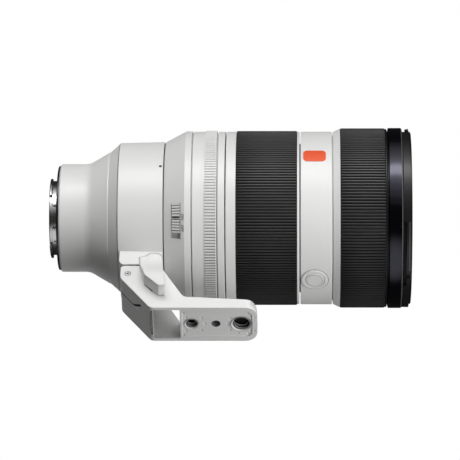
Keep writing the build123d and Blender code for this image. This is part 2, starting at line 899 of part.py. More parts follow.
def zoom_cell(x, direction, first_place):
    """A cell with its three rollers. It reaches from its rollers along the given direction."""
    outer = guide_inner - running_fit
    inner = outer - cell_wall
    far = x + direction * cell_setback
    near = far - direction * cell_length
    seat = far - direction * (cell_lip + glass_edge)
    body = turned(
        (near, inner - cell_lip), (near, outer), (far, outer), (far, inner),
        (seat, inner), (seat, inner - cell_lip))
    tip = guide_outer + cam_inner_gap + roller_reach - edge_break
    for place in roller_places(first_place):
        body += spoke(x, inner, tip, place, roller_radius)
    return body


def zoom_glass(x, direction, crown):
    radius = guide_inner - running_fit - cell_wall
    far = x + direction * cell_setback
    start = min(far - direction * cell_lip, far - direction * (cell_lip + glass_edge))
    return glass(start, glass_edge, radius, crown, crown)


def focus_cell(start, outer, circle):
    """A light cell that runs on two steel rods."""
    inner = circle - rod_radius * 2 - cell_lip
    seat = start + cell_lip
    body = turned(
        (start, inner - cell_lip), (start, outer), (start + focus_cell_length, outer),
        (start + focus_cell_length, inner), (seat, inner), (seat, inner - cell_lip))
    for place in rod_places:
        body -= rod(start - overrun, start + focus_cell_length + overrun, circle, place, rod_radius + running_fit)
    return body


def focus_glass(start, circle):
    radius = circle - rod_radius * 2 - cell_lip
    return glass(start + cell_lip, focus_cell_length - cell_lip * 2, radius, -focus_glass_crown, focus_glass_crown)


def rear_focus_outer():
    return journal_radius - journal_wall - side_play


def focus_rods():
    rods = []
    for place in rod_places:
        rods.append(rod(rear_web_x, iris_x + iris_plate_thickness / 2, rear_rod_circle(), place, rod_radius))
        rods.append(rod(front_web_x, cell_front - front_cell_length + web_thickness, rod_circle, place, rod_radius))
    return Compound(children=rods)


def iris_base():
    """The plate that the iris blades pivot on."""
    body = tube(iris_x, iris_x + iris_plate_thickness, iris_opening, guide_inner)
    for place in rod_places:
        body -= rod(iris_x - overrun, iris_x + iris_plate_thickness / 2, rear_rod_circle(), place, rod_radius)
    return body


# Tripod collar, foot and lever

def dovetail(play, start, end):
    """The wedge-shaped rail between foot and boss. It is wider at its top."""
    neck = dovetail_neck + play
    top = boss_reach - dovetail_height - play
    plane = Plane(origin=(start, 0, 0), x_dir=(0, 1, 0), z_dir=(1, 0, 0))
    outline = Polyline((-neck, -boss_reach - foot_gap), (neck, -boss_reach - foot_gap), (neck, -boss_reach),
                       (neck + dovetail_flare, -top), (-neck - dovetail_flare, -top), (-neck, -boss_reach), close=True)
    return extrude(plane * make_face(outline), amount=end - start)


def lever_outline(grow):
    """The lever seen from the side. The same curve, a little larger, cuts its recess."""
    hub = (lever_pivot_x, -lever_pivot_drop)
    radius = lever_hub_radius + grow
    top_angle = math.radians(lever_shoulder_angle)
    top = (hub[0] + radius * math.cos(top_angle), hub[1] + radius * math.sin(top_angle))
    crest = (hub[0] + radius * math.cos(math.radians(UP / 2)), hub[1] + radius * math.sin(math.radians(UP / 2)))
    side = (hub[0] + radius, hub[1])
    tip = (lever_tip[0] - grow, -lever_tip[1])
    back = (lever_back[0] - grow, -lever_back[1])
    elbow = (lever_elbow[0] - grow, -lever_elbow[1])
    return [
        Spline(tip, back, elbow),
        Line(elbow, (lever_end_rear, -lever_end - grow)),
        Line((lever_end_rear, -lever_end - grow), (lever_end_front + grow, -lever_end - grow)),
        Line((lever_end_front + grow, -lever_end - grow), (lever_neck_front + grow, -lever_neck_drop)),
        Line((lever_neck_front + grow, -lever_neck_drop), side),
        ThreePointArc(side, crest, top),
        Line(top, tip)]


def tripod_collar():
    inner = journal_radius + running_fit
    ring = turned(
        (collar_start, inner), (collar_end, inner), (collar_end, collar_radius - edge_break),
        (collar_end - edge_break, collar_radius), (collar_start + edge_break, collar_rear_radius),
        (collar_start, collar_rear_radius - edge_break))
    rear = collar_start + boss_rear_step
    upright = (Align.MIN, Align.CENTER, Align.MIN)
    boss = Location((rear, 0, -boss_reach)) * Box(collar_end - rear, boss_half_width * 2, boss_reach, align=upright)
    corner = boss.edges().filter_by(Axis.Y).sort_by(Axis.Z)[:2].sort_by(Axis.X)[0]
    boss = fillet([corner], boss_corner)
    boss -= tube(collar_start - overrun, collar_end + overrun, 0, journal_radius + running_fit + edge_break)
    knob_boss = spoke(knob_x(), journal_radius + running_fit + edge_break, knob_boss_reach, FAR, knob_boss_radius)
    body = ring + boss + knob_boss
    body -= dovetail(running_fit, rear - overrun, collar_end - dovetail_stop + running_fit)
    y_face = -boss_half_width
    body -= side_plate(lever_outline(side_play), y_face - overrun, lever_back_face() + running_fit)
    body -= lever_disc(y_face - overrun, y_face + lever_recess, lever_disc_radius + running_fit)
    pin_end = y_face + lever_recess + lever_pin_depth
    body -= lever_pin(pin_end + running_fit, lever_pin_radius + running_fit)
    body -= spoke(knob_x(), knob_boss_reach - knob_stem_depth - running_fit, knob_boss_reach + overrun, FAR,
                  knob_stem_radius + running_fit)
    dot = spoke(collar_end - edge_break * 3, collar_radius - index_dot_depth, collar_radius + overrun,
                NEAR + index_dot_angle, index_dot_radius)
    return body - dot


def knob_x():
    return (collar_start + collar_end) / 2


def lever_back_face():
    """The lever's back passes the foot's side with a little play."""
    return -foot_half_width - side_play


def lever_disc(y_near, y_far, radius):
    plane = Plane(origin=(lever_pivot_x, y_far, -lever_pivot_drop), x_dir=(1, 0, 0), z_dir=(0, -1, 0))
    return plane * Cylinder(radius, y_far - y_near, align=(Align.CENTER, Align.CENTER, Align.MIN))


def lever_pin(pin_end, radius):
    plane = Plane(origin=(lever_pivot_x, pin_end, -lever_pivot_drop), x_dir=(1, 0, 0), z_dir=(0, -1, 0))
    length = pin_end + boss_half_width - lever_recess / 2
    return plane * Cylinder(radius, length, align=(Align.CENTER, Align.CENTER, Align.MIN))


def foot_lever():
    """A flat hub in the boss that flares into a finger tab beside the foot."""
    face = -boss_half_width
    inside = face + lever_recess - running_fit
    blank = side_plate(lever_outline(0), face - lever_flare, lever_back_face())
    plane = Plane(origin=(lever_tip[0] - overrun, 0, 0), x_dir=(0, 1, 0), z_dir=(1, 0, 0))
    above = lever_hub_radius + overrun - lever_pivot_drop
    back = Polyline(
        (face - lever_flare, -lever_elbow[1]), (face - lever_flare, -lever_end - overrun),
        (lever_back_face(), -lever_end - overrun), (lever_back_face(), above), (face, above),
        (face, -lever_flare_start))
    flare = Spline((face, -lever_flare_start), (face - lever_flare, -lever_elbow[1]),
                   tangents=((0, -lever_flare), (0, -lever_flare)))
    section = plane * make_face([back, flare])
    body = blank & extrude(section, amount=lever_end_front - lever_tip[0] + overrun * 2)
    body += lever_disc(lever_back_face(), inside, lever_disc_radius)
    return body + lever_pin(face + lever_recess + lever_pin_depth, lever_pin_radius)


def collar_knob():
    """A fluted clamping knob on the far side of the collar."""
    base = knob_boss_reach + side_play
    body = spoke(knob_x(), base, base + knob_length, FAR, knob_radius)
    rims = body.edges().filter_by(GeomType.CIRCLE)
    body = chamfer(rims, edge_break)
    for index in range(knob_flutes):
        angle = math.radians(FULL_TURN / knob_flutes * index)
        place = Location((knob_x() + knob_radius * math.cos(angle), base - overrun, knob_radius * math.sin(angle)),
                         (-UP, 0, 0))
        upright = (Align.CENTER, Align.CENTER, Align.MIN)
        body -= place * Cylinder(knob_flute_radius, knob_length + overrun * 2, align=upright)
    return body + spoke(knob_x(), knob_boss_reach - knob_stem_depth, base + knob_stem_depth, FAR, knob_stem_radius)


def foot_side_outline():
    top = -boss_reach - foot_gap
    outline = Polyline(
        (foot_rear, top), (foot_arm_front, top), (foot_arm_front + foot_knee, top - foot_knee_drop),
        (foot_bar_start, foot_bar_rear_height - foot_base), (foot_length_end, foot_bar_front_height - foot_base),
        (foot_length_end, -foot_base), (foot_base_start, -foot_base), (foot_rear, top - foot_rear_drop), close=True)
    face = make_face(outline)
    corners = {
        (foot_rear, top): foot_corner_small,
        (foot_bar_start, foot_bar_rear_height - foot_base): foot_corner_inner,
        (foot_length_end, foot_bar_front_height - foot_base): foot_corner_front,
        (foot_base_start, -foot_base): foot_corner_base,
        (foot_rear, top - foot_rear_drop): foot_corner_knee}
    for (x, z), radius in corners.items():
        vertex = face.vertices().sort_by_distance((x, z, 0))[0]
        face = fillet([vertex], radius)
    return face


def foot():
    top = -boss_reach - foot_gap
    plane = Plane(origin=(0, foot_half_width, 0), x_dir=(1, 0, 0), z_dir=(0, -1, 0))
    body = extrude(plane * foot_side_outline(), amount=foot_half_width * 2)
    plan_length = foot_length_end - foot_rear + foot_plan_corner * 2
    plan = RectangleRounded(plan_length, foot_half_width * 2, foot_plan_corner)
    plan_middle = foot_length_end - plan_length / 2
    body = body & extrude(Plane(origin=(plan_middle, 0, -foot_base)) * plan, amount=foot_height)
    slope = (foot_base_start - foot_rear) / (foot_base + top - foot_rear_drop)
    shift = foot_rear_wall * math.hypot(1, slope)
    inner_top = top - foot_top_thickness
    rear_x = foot_rear + slope * (top - foot_rear_drop - inner_top) + shift
    hollow = Polyline(
        (max(rear_x, foot_rear + foot_rear_wall), inner_top), (foot_window_end, inner_top),
        (foot_window_end, -foot_base - overrun),
        (foot_base_start + shift + slope * overrun, -foot_base - overrun),
        (foot_rear + foot_rear_wall, top - foot_rear_drop - foot_rear_wall / 2), close=True)
    half = foot_half_width - foot_wall
    body -= side_plate(hollow, -half, half)
    body += dovetail(0, foot_rear + boss_corner, collar_end - dovetail_stop)
    body -= rear_seam(slope)
    for x, radius, depth, rim_break in (
            (quarter_place, quarter_rim, quarter_pocket, quarter_break),
            (three_eighth_place, three_eighth_rim, three_eighth_pocket, three_eighth_break),
            (guide_hole_place, guide_hole_radius, guide_hole_depth, guide_hole_break)):
        body -= base_hole(x, radius, depth, overrun)
        body -= base_cone(x, -foot_base, radius + rim_break, rim_break, radius)
    point = guide_hole_radius / math.tan(math.radians(drill_point_angle / 2))
    body -= base_cone(guide_hole_place, guide_hole_depth - foot_base, guide_hole_radius, point, 0)
    for side in (-1, 1):
        body -= foot_screw(side)
    return body


def base_hole(x, radius, depth, past):
    """A round hole bored up into the underside of the foot."""
    return Location((x, 0, -foot_base - past)) * Cylinder(
        radius, depth + past, align=(Align.CENTER, Align.CENTER, Align.MIN))


def base_cone(x, z, wide, height, narrow):
    """A cone that narrows upward, for a hole's chamfered mouth or its drilled point."""
    return Location((x, 0, z)) * Cone(wide, narrow, height, align=(Align.CENTER, Align.CENTER, Align.MIN))


def rear_seam(slope):
    """The fine seam down the slanting rear face, which ends in a short slot."""
    top = -boss_reach - foot_gap - foot_rear_drop
    slot_z = top - (foot_slot_start - foot_rear) / slope
    angle = math.degrees(math.atan(1 / slope))
    groove_length = (foot_slot_start - foot_rear) * math.hypot(1, 1 / slope)
    groove = Box(groove_length, foot_groove_width, foot_rear_wall, align=(Align.MIN, Align.CENTER, Align.CENTER))
    slot = Box(foot_slot_length, foot_slot_width, foot_rear_wall * 6, align=(Align.MIN, Align.CENTER, Align.CENTER))
    groove = Location((foot_rear, foot_seam_offset, top), (0, angle, 0)) * groove
    return groove + Location((foot_slot_start, foot_seam_offset, slot_z), (0, angle, 0)) * slot


def foot_screw(side):
    plane = Plane(origin=(foot_screw_place, side * (foot_half_width - foot_screw_depth), -foot_screw_height),
                  x_dir=(1, 0, 0), z_dir=(0, side, 0))
    return plane * Cylinder(foot_screw_radius, foot_screw_depth, align=(Align.CENTER, Align.CENTER, Align.MIN))


def foot_screws():
    screws = []
    for side in (-1, 1):
        plane = Plane(origin=(foot_screw_place, side * (foot_half_width - foot_screw_depth / 2), -foot_screw_height),
                      x_dir=(1, 0, 0), z_dir=(0, side, 0))
        socket = plane * extrude(RegularPolygon(foot_screw_socket, 6), amount=foot_screw_depth)
        screws.append(foot_screw(side) - socket)
    return Compound(children=screws)


def thread_inserts():
    """Steel bushes with a chamfered mouth, one for each tripod thread."""
    bushes = []
    for x, inner, rim, pocket in ((quarter_place, quarter_radius, quarter_rim, quarter_pocket),
                                  (three_eighth_place, three_eighth_radius, three_eighth_rim, three_eighth_pocket)):
        bush = base_hole(x, rim, pocket, 0) - base_hole(x, inner, pocket - insert_floor, overrun)
        mouth = bush.edges().filter_by(GeomType.CIRCLE).filter_by_position(Axis.Z, -foot_base, -foot_base)
        bush = chamfer(mouth.sort_by(lambda edge: edge.radius)[:1], min(insert_mouth, rim - inner - edge_break / 2))
        bushes.append(bush)
    return Compound(children=bushes)


# Build every piece

save(mount_flange(), "mount_flange")
save(mount_screws(), "mount_screws")
save(mount_gasket(), "mount_gasket")
save(rear_cell(), "rear_cell")
save(rear_glass(), "rear_glass")
save(contact_block(), "contact_block")
save(contact_pins(), "contact_pins")
save(main_board(), "main_board")
save(rear_barrel(), "rear_barrel")
save(guide_barrel(), "guide_barrel")
save(switch_barrel(), "switch_barrel")
save(index_ring(), "index_ring")
save(button_barrel(), "button_barrel")
save(button_bezels(), "button_bezels")
save(badge_plate(), "badge_plate")
save(front_barrel(), "front_barrel")
save(front_ring(), "front_ring")
save(front_cell_with_holes(), "front_cell")
save(front_glass(), "front_glass")
save(second_glass(), "second_glass")
save(retaining_ring(), "retaining_ring")
save(iris_base(), "iris_base")
save(focus_rods(), "focus_rods")
save(aperture_ring(), "aperture_ring")
save(zoom_ring(), "zoom_ring")
save(zoom_grip(), "zoom_grip")
save(cam_barrel(), "cam_barrel")
save(zoom_cell(variator_x, -1, cam_place), "variator_cell")
save(zoom_glass(variator_x, -1, variator_crown), "variator_glass")
save(zoom_cell(compensator_x, 1, compensator_place), "compensator_cell")
save(zoom_glass(compensator_x, 1, compensator_crown), "compensator_glass")
save(focus_cell(front_focus_x, focus_cell_radius, rod_circle), "front_focus_cell")
save(focus_glass(front_focus_x, rod_circle), "front_focus_glass")
save(focus_cell(rear_focus_x, rear_focus_outer(), rear_rod_circle()), "rear_focus_cell")
save(focus_glass(rear_focus_x, rear_rod_circle()), "rear_focus_glass")
save(focus_ring(), "focus_ring")
save(focus_grip(), "focus_grip")
save(switch_knob(VIEW, switch_knob_length), "click_switch")
save(switch_knob(far_switch_places[0], far_knob_length), "focus_mode_switch")
save(switch_knob(far_switch_places[1], far_knob_length), "focus_range_switch")
for button_name, button_place in zip(button_names, button_places):
    save(hold_button(button_place), button_name)
save(tripod_collar(), "tripod_collar")
save(collar_knob(), "collar_knob")
save(foot(), "foot")
save(thread_inserts(), "thread_inserts")
save(foot_screws(), "foot_screws")
save(foot_lever(), "foot_lever")
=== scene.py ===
import math

import bmesh
import bpy
from mathutils import Matrix, Vector


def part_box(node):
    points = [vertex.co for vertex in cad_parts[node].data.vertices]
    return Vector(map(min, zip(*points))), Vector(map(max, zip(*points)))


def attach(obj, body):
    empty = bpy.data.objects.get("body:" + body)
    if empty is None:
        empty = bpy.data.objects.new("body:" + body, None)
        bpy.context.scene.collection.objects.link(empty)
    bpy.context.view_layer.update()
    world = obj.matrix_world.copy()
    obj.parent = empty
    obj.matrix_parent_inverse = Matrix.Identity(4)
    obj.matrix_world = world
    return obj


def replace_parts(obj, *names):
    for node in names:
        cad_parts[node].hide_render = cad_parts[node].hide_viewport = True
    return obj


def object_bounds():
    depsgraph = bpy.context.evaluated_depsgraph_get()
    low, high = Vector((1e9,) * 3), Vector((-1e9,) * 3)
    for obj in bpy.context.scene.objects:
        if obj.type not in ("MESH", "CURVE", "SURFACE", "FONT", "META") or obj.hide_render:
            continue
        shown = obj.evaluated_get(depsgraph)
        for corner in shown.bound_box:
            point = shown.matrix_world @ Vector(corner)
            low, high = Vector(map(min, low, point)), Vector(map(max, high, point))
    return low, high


bl_info = {
    "name": "White telephoto zoom lens",
    "version": (1, 0, 0),
    "blender": (4, 5, 0),
    "location": "View3D > Sidebar > Lens",
    "description": "Dresses a telephoto zoom lens in paint, rubber, chrome and glass",
    "category": "Object",
}

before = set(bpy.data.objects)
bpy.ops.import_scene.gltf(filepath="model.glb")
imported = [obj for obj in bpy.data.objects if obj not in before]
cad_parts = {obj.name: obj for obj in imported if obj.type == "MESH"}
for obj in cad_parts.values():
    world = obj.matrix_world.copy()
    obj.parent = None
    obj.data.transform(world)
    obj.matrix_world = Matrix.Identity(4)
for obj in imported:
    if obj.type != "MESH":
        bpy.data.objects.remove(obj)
CAD_BOX = [list(corner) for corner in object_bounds()]

MM = 0.001
TURN = 2 * math.pi
AXIS_X = Vector((1, 0, 0))

# Angles round the optical axis, as in the frame: zero at +Y, a quarter turn at +Z
FAR = 0.0
UP = math.radians(90)
DOWN = math.radians(270)

# Sockets of a Mix node that mixes colours
MIX_FIRST, MIX_SECOND, MIX_RESULT = 6, 7, 2


def low(node):
    """The corner of a node's box with the smallest x, y and z."""
    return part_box(node)[0]


def high(node):
    """The corner with the largest."""
    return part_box(node)[1]


def off_axis(spot):
    return math.hypot(spot.y, spot.z)


def radius_of(node):
    """Largest radius of a round node about the optical axis."""
    return max(off_axis(vertex.co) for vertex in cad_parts[node].data.vertices)


class LensLooks(bpy.types.PropertyGroup):
    paint: bpy.props.FloatVectorProperty(
        name="Paint", description="Off-white paint of the barrels", subtype="COLOR", size=3,
        min=0, max=1, default=(0.80, 0.80, 0.79))
    paint_roughness: bpy.props.FloatProperty(
        name="Paint roughness", description="How matt the paint is", subtype="FACTOR", min=0, max=1,
        default=0.42)
    rubber: bpy.props.FloatVectorProperty(
        name="Rubber", description="Black rubber of the grips", subtype="COLOR", size=3,
        min=0, max=1, default=(0.014, 0.014, 0.0145))
    gloss: bpy.props.FloatVectorProperty(
        name="Front ring", description="Gloss black of the front ring", subtype="COLOR", size=3,
        min=0, max=1, default=(0.0012, 0.0012, 0.0018))
    satin: bpy.props.FloatVectorProperty(
        name="Satin black", description="Satin black of the hood bayonet and the cells", subtype="COLOR", size=3,
        min=0, max=1, default=(0.0105, 0.0105, 0.011))
    chrome: bpy.props.FloatVectorProperty(
        name="Chrome", description="Chrome of the bayonet", subtype="COLOR", size=3,
        min=0, max=1, default=(0.80, 0.80, 0.81))
    # Ink of the print, which also paints the shade in the bayonet screws' crosses, round their heads and on the
    # flanks of the foot's threads
    ink_and_painted_shade: bpy.props.FloatVectorProperty(
        name="Ink", description="Ink of the printed figures and lines", subtype="COLOR", size=3,
        min=0, max=1, default=(0.05, 0.05, 0.055))
    badge: bpy.props.FloatVectorProperty(
        name="Badge", description="Orange-red of the badge plate", subtype="COLOR", size=3,
        min=0, max=1, default=(0.80, 0.085, 0.012))
    rib_count: bpy.props.IntProperty(
        name="Grip ribs", description="Ribs round each rubber grip", min=12, max=400, default=180)
    rib_depth: bpy.props.FloatProperty(
        name="Rib depth", description="Depth of the grooves between the ribs", subtype="DISTANCE",
        unit="LENGTH", min=0, default=0.00075)
    figure_size: bpy.props.FloatProperty(
        name="Figures", description="Height of the figures printed on the rings", subtype="DISTANCE",
        unit="LENGTH", min=0, default=0.0027)
    key_power: bpy.props.FloatProperty(
        name="Key light", description="Power of the large soft box on the near side", subtype="POWER",
        min=0, default=12.6)
    shine: bpy.props.FloatProperty(
        name="Shine", description="Brightness of the soft strip that glossy surfaces mirror", min=0, default=1.0)
    fill_level: bpy.props.FloatProperty(
        name="Fill", description="Even light from all round", min=0, max=2, default=0.09)


class LensCamera(bpy.types.PropertyGroup):
    distance: bpy.props.FloatProperty(
        name="Distance", description="From the camera to the optical axis", subtype="DISTANCE",
        unit="LENGTH", default=2.03)
    square_on_x: bpy.props.FloatProperty(
        name="Square-on place", description="Where the line of sight meets the axis squarely",
        subtype="DISTANCE", unit="LENGTH", default=0.139)
    focal_px: bpy.props.FloatProperty(
        name="Focal length in pixels", description="Focal length in pixels of the picture", subtype="PIXEL",
        default=3551.0)
    picture_width: bpy.props.FloatProperty(
        name="Picture width", description="Pixels across the picture", subtype="PIXEL", default=460.0)
    axis_px_x: bpy.props.FloatProperty(
        name="Square-on column", description="Picture column of the square-on place", subtype="PIXEL",
        default=303.0)
    axis_px_y: bpy.props.FloatProperty(
        name="Axis row", description="Picture row of the optical axis", subtype="PIXEL", default=218.0)
    below: bpy.props.FloatProperty(
        name="Below the horizon", description="How far the camera is below the lens", subtype="ANGLE",
        unit="ROTATION", default=math.radians(45))


# Node groups that several materials share

def new_group(name, inputs, outputs):
    """A node group with its named sockets, and the nodes at its two ends."""
    group = bpy.data.node_groups.new(name, "ShaderNodeTree")
    for label, kind, value in inputs:
        socket = group.interface.new_socket(name=label, in_out="INPUT", socket_type=kind)
        if value is not None:
            socket.default_value = value
    for label, kind in outputs:
        group.interface.new_socket(name=label, in_out="OUTPUT", socket_type=kind)
    return group, group.nodes.new("NodeGroupInput"), group.nodes.new("NodeGroupOutput")


def object_coordinates(tree):
    return tree.nodes.new("ShaderNodeTexCoord").outputs["Object"]


def math_node(tree, operation, first, second=None, clamp=False):
    """The result of a Math node whose inputs are sockets or plain numbers."""
    node = tree.nodes.new("ShaderNodeMath")
    node.operation = operation
    node.use_clamp = clamp
    for index, value in enumerate((first, second)):
        if value is None:
            continue
        if isinstance(value, (int, float)):
            node.inputs[index].default_value = value
        else:
            tree.links.new(value, node.inputs[index])
    return node.outputs[0]


def grain_group():
    """Fine even grain of sprayed paint or moulded rubber, with a slow drift over the piece."""
    group, inside, out = new_group(
        "fine_grain",
        [("Scale", "NodeSocketFloat", 2600.0), ("Drift Scale", "NodeSocketFloat", 45.0)],
        [("Grain", "NodeSocketFloat"), ("Drift", "NodeSocketFloat")])
    place = object_coordinates(group)
    for label, scale, detail in (("Grain", "Scale", 3.0), ("Drift", "Drift Scale", 4.0)):
        noise = group.nodes.new("ShaderNodeTexNoise")
        noise.inputs["Detail"].default_value = detail
        group.links.new(place, noise.inputs["Vector"])
        group.links.new(inside.outputs[scale], noise.inputs["Scale"])
        group.links.new(noise.outputs["Fac"], out.inputs[label])
    return group


def lathe_group():
    """Fine rings left by the turning tool, round the optical axis."""
    group, inside, out = new_group(
        "lathe_rings", [("Scale", "NodeSocketFloat", 9000.0)], [("Rings", "NodeSocketFloat")])
    split = group.nodes.new("ShaderNodeSeparateXYZ")
    group.links.new(object_coordinates(group), split.inputs[0])
    squares = [math_node(group, "POWER", split.outputs[axis], 2.0) for axis in (1, 2)]
    radius = math_node(group, "SQRT", math_node(group, "ADD", *squares))
    along = math_node(group, "ADD", split.outputs[0], radius)
    noise = group.nodes.new("ShaderNodeTexNoise")
    noise.noise_dimensions = "1D"
    noise.inputs["Detail"].default_value = 2.0
    group.links.new(along, noise.inputs["W"])
    group.links.new(inside.outputs["Scale"], noise.inputs["Scale"])
    group.links.new(noise.outputs["Fac"], out.inputs["Rings"])
    return group


def wear_group():
    """A mask on sharp edges, where handling polishes a finish."""
    group, inside, out = new_group(
        "edge_wear", [("Threshold", "NodeSocketFloat", 0.56), ("Spread", "NodeSocketFloat", 0.08)],
        [("Mask", "NodeSocketFloat")])
    geometry = group.nodes.new("ShaderNodeNewGeometry")
    noise = group.nodes.new("ShaderNodeTexNoise")
    noise.inputs["Scale"].default_value = 900.0
    group.links.new(object_coordinates(group), noise.inputs["Vector"])
    unevenness = math_node(group, "MULTIPLY", noise.outputs["Fac"], 0.06)
    sharp = math_node(group, "ADD", geometry.outputs["Pointiness"], unevenness)
    above = math_node(group, "SUBTRACT", sharp, inside.outputs["Threshold"])
    mask = math_node(group, "DIVIDE", above, inside.outputs["Spread"], clamp=True)
    group.links.new(mask, out.inputs["Mask"])
    return group


def place_group(tree, name, **values):
    """One of the shared groups in a material, with its own values. An underscore stands for a space."""
    node = tree.nodes.new("ShaderNodeGroup")
    node.node_tree = bpy.data.node_groups[name]
    for label, value in values.items():
        node.inputs[label.replace("_", " ")].default_value = value
    return node


def ramp(tree, source, stops):
    """Colours that change with a value, by (position, colour) stops."""
    node = tree.nodes.new("ShaderNodeValToRGB")
    elements = node.color_ramp.elements
    for index, (position, color) in enumerate(stops):
        element = elements[index] if index < 2 else elements.new(position)
        element.position = position
        element.color = (*color, 1)
    tree.links.new(source, node.inputs["Fac"])
    return node.outputs["Color"]


def bump(tree, height, distance, strength=1.0, edge=0.0):
    """Small relief. With an edge size, sharp corners also look slightly rounded."""
    node = tree.nodes.new("ShaderNodeBump")
    if edge:
        rounding = tree.nodes.new("ShaderNodeBevel")
        rounding.samples = 8
        rounding.inputs["Radius"].default_value = edge
        tree.links.new(rounding.outputs["Normal"], node.inputs["Normal"])
    node.inputs["Distance"].default_value = distance
    node.inputs["Strength"].default_value = strength
    tree.links.new(height, node.inputs["Height"])
    return node.outputs["Normal"]


def scaled(color, factor):
    return tuple(min(1.0, channel * factor) for channel in color)


def new_material(name):
    """A fresh material. Its prefix keeps it apart from the plain ones that come with the frame."""
    fresh = bpy.data.materials.new("lens_" + name)
    fresh.use_nodes = True
    return fresh, fresh.node_tree, fresh.node_tree.nodes["Principled BSDF"]


def drift_ramp(tree, grain, first, second):
    """A tone that wanders slowly between two over the surface."""
    return ramp(tree, grain.outputs["Drift"], [(0.3, first), (0.7, second)])


def drifting(tree, shader, grain, color, spread, roughness, roughness_spread):
    """Colour and roughness that wander a little over the surface."""
    tone = drift_ramp(tree, grain, scaled(color, 1 - spread), scaled(color, 1 + spread))
    tree.links.new(tone, shader.inputs["Base Color"])
    gloss = drift_ramp(tree, grain, (roughness - roughness_spread,) * 3, (roughness + roughness_spread,) * 3)
    tree.links.new(gloss, shader.inputs["Roughness"])


def paint_material(name, color, roughness, grain_depth=0.00001, edge=0.0, sheen=None):
    """Sprayed paint: a faint grain and a slow drift of tone. A sheen is a stronger, tinted gloss."""
    material, tree, shader = new_material(name)
    grain = place_group(tree, "fine_grain", Scale=2600.0, Drift_Scale=30.0)
    drifting(tree, shader, grain, color, 0.012, roughness, 0.03)
    tree.links.new(bump(tree, grain.outputs["Grain"], grain_depth, edge=edge), shader.inputs["Normal"])
    if sheen:
        shader.inputs["Specular IOR Level"].default_value = 0.85
        shader.inputs["Specular Tint"].default_value = (*sheen, 1)
    return material


def rubber_material(name, color):
    """Moulded rubber: fine tooth, a little sheen, paler where it is rubbed."""
    material, tree, shader = new_material(name)
    grain = place_group(tree, "fine_grain", Scale=3400.0, Drift_Scale=60.0)
    wear = place_group(tree, "edge_wear", Threshold=0.53, Spread=0.10)
    tone = drift_ramp(tree, grain, scaled(color, 0.85), scaled(color, 1.2))
    mix = tree.nodes.new("ShaderNodeMix")
    mix.data_type = "RGBA"
    tree.links.new(math_node(tree, "MULTIPLY", wear.outputs["Mask"], 0.6), mix.inputs["Factor"])
    tree.links.new(tone, mix.inputs[MIX_FIRST])
    mix.inputs[MIX_SECOND].default_value = (*scaled(color, 2.6), 1)
    tree.links.new(mix.outputs[MIX_RESULT], shader.inputs["Base Color"])
    shader.inputs["Roughness"].default_value = 0.42
    shader.inputs["Specular IOR Level"].default_value = 0.78
    tree.links.new(bump(tree, grain.outputs["Grain"], 0.00002), shader.inputs["Normal"])
    return material


def metal_material(name, color, roughness, ring_depth=0.000004):
    """Turned metal: fine rings round the axis and a slightly uneven polish."""
    material, tree, shader = new_material(name)
    grain = place_group(tree, "fine_grain", Scale=1800.0, Drift_Scale=80.0)
    rings = place_group(tree, "lathe_rings", Scale=7000.0)
    drifting(tree, shader, grain, color, 0.04, roughness, 0.05)
    shader.inputs["Metallic"].default_value = 1.0
    tree.links.new(bump(tree, rings.outputs["Rings"], ring_depth), shader.inputs["Normal"])
    return material


def plastic_material(name, color, roughness, depth=0.000012, coat=0.0):
    """Moulded plastic with a fine texture."""
    material, tree, shader = new_material(name)
    grain = place_group(tree, "fine_grain", Scale=2200.0, Drift_Scale=50.0)
    drifting(tree, shader, grain, color, 0.03, roughness, 0.04)
    tree.links.new(bump(tree, grain.outputs["Grain"], depth), shader.inputs["Normal"])
    shader.inputs["Coat Weight"].default_value = coat
    shader.inputs["Coat Roughness"].default_value = 0.05
    return material


def glass_material(name, tint, coating):
    """Coated optical glass: clear, with a coloured reflection."""
    material, tree, shader = new_material(name)
    grain = place_group(tree, "fine_grain", Scale=400.0, Drift_Scale=25.0)
    tree.links.new(drift_ramp(tree, grain, scaled(tint, 0.98), tint), shader.inputs["Base Color"])
    shader.inputs["Transmission Weight"].default_value = 1.0
    shader.inputs["Roughness"].default_value = 0.0
    shader.inputs["IOR"].default_value = 1.5
    shader.inputs["Specular Tint"].default_value = (*coating, 1)
    return material


def board_material(name):
    """Green solder mask with fine pale tracks."""
    material, tree, shader = new_material(name)
    cells = tree.nodes.new("ShaderNodeTexVoronoi")
    cells.feature = "DISTANCE_TO_EDGE"
    cells.inputs["Scale"].default_value = 420.0
    tree.links.new(object_coordinates(tree), cells.inputs["Vector"])
    tones = [(0.02, (0.06, 0.30, 0.14)), (0.06, (0.01, 0.12, 0.05))]
    tree.links.new(ramp(tree, cells.outputs["Distance"], tones), shader.inputs["Base Color"])
    shader.inputs["Roughness"].default_value = 0.35
    return material


# Finish of each CAD node, by what the piece is made of
FINISHES = {
    "paint": ("rear_barrel", "switch_barrel", "index_ring", "button_barrel", "button_bezels", "aperture_ring",
              "zoom_ring", "focus_ring", "hold_button_bottom", "hold_button_top", "hold_button_side"),
    "cast_paint": ("tripod_collar", "collar_knob", "foot"),
    "soft_paint": ("foot_lever",),
    "satin_black": ("front_barrel", "retaining_ring", "rear_cell", "mount_gasket"),
    "gloss_black": ("front_ring",),
    "rubber": ("zoom_grip", "focus_grip"),
    "chrome": ("mount_flange",),
    "steel": ("mount_screws", "focus_rods", "foot_screws"),
    "gilt": ("contact_pins",),
    "anodised": ("guide_barrel", "cam_barrel", "front_cell", "iris_base", "variator_cell", "compensator_cell",
                 "front_focus_cell", "rear_focus_cell"),
    "coated_glass": ("front_glass", "rear_glass", "second_glass", "variator_glass", "compensator_glass",
                     "front_focus_glass", "rear_focus_glass"),
    "black_plastic": ("contact_block",),
    "board": ("main_board",),
    "badge": ("badge_plate",),
    "insert_grey_and_track_shade": ("thread_inserts",),
    "switch_plastic": ("click_switch", "focus_mode_switch", "focus_range_switch"),
}

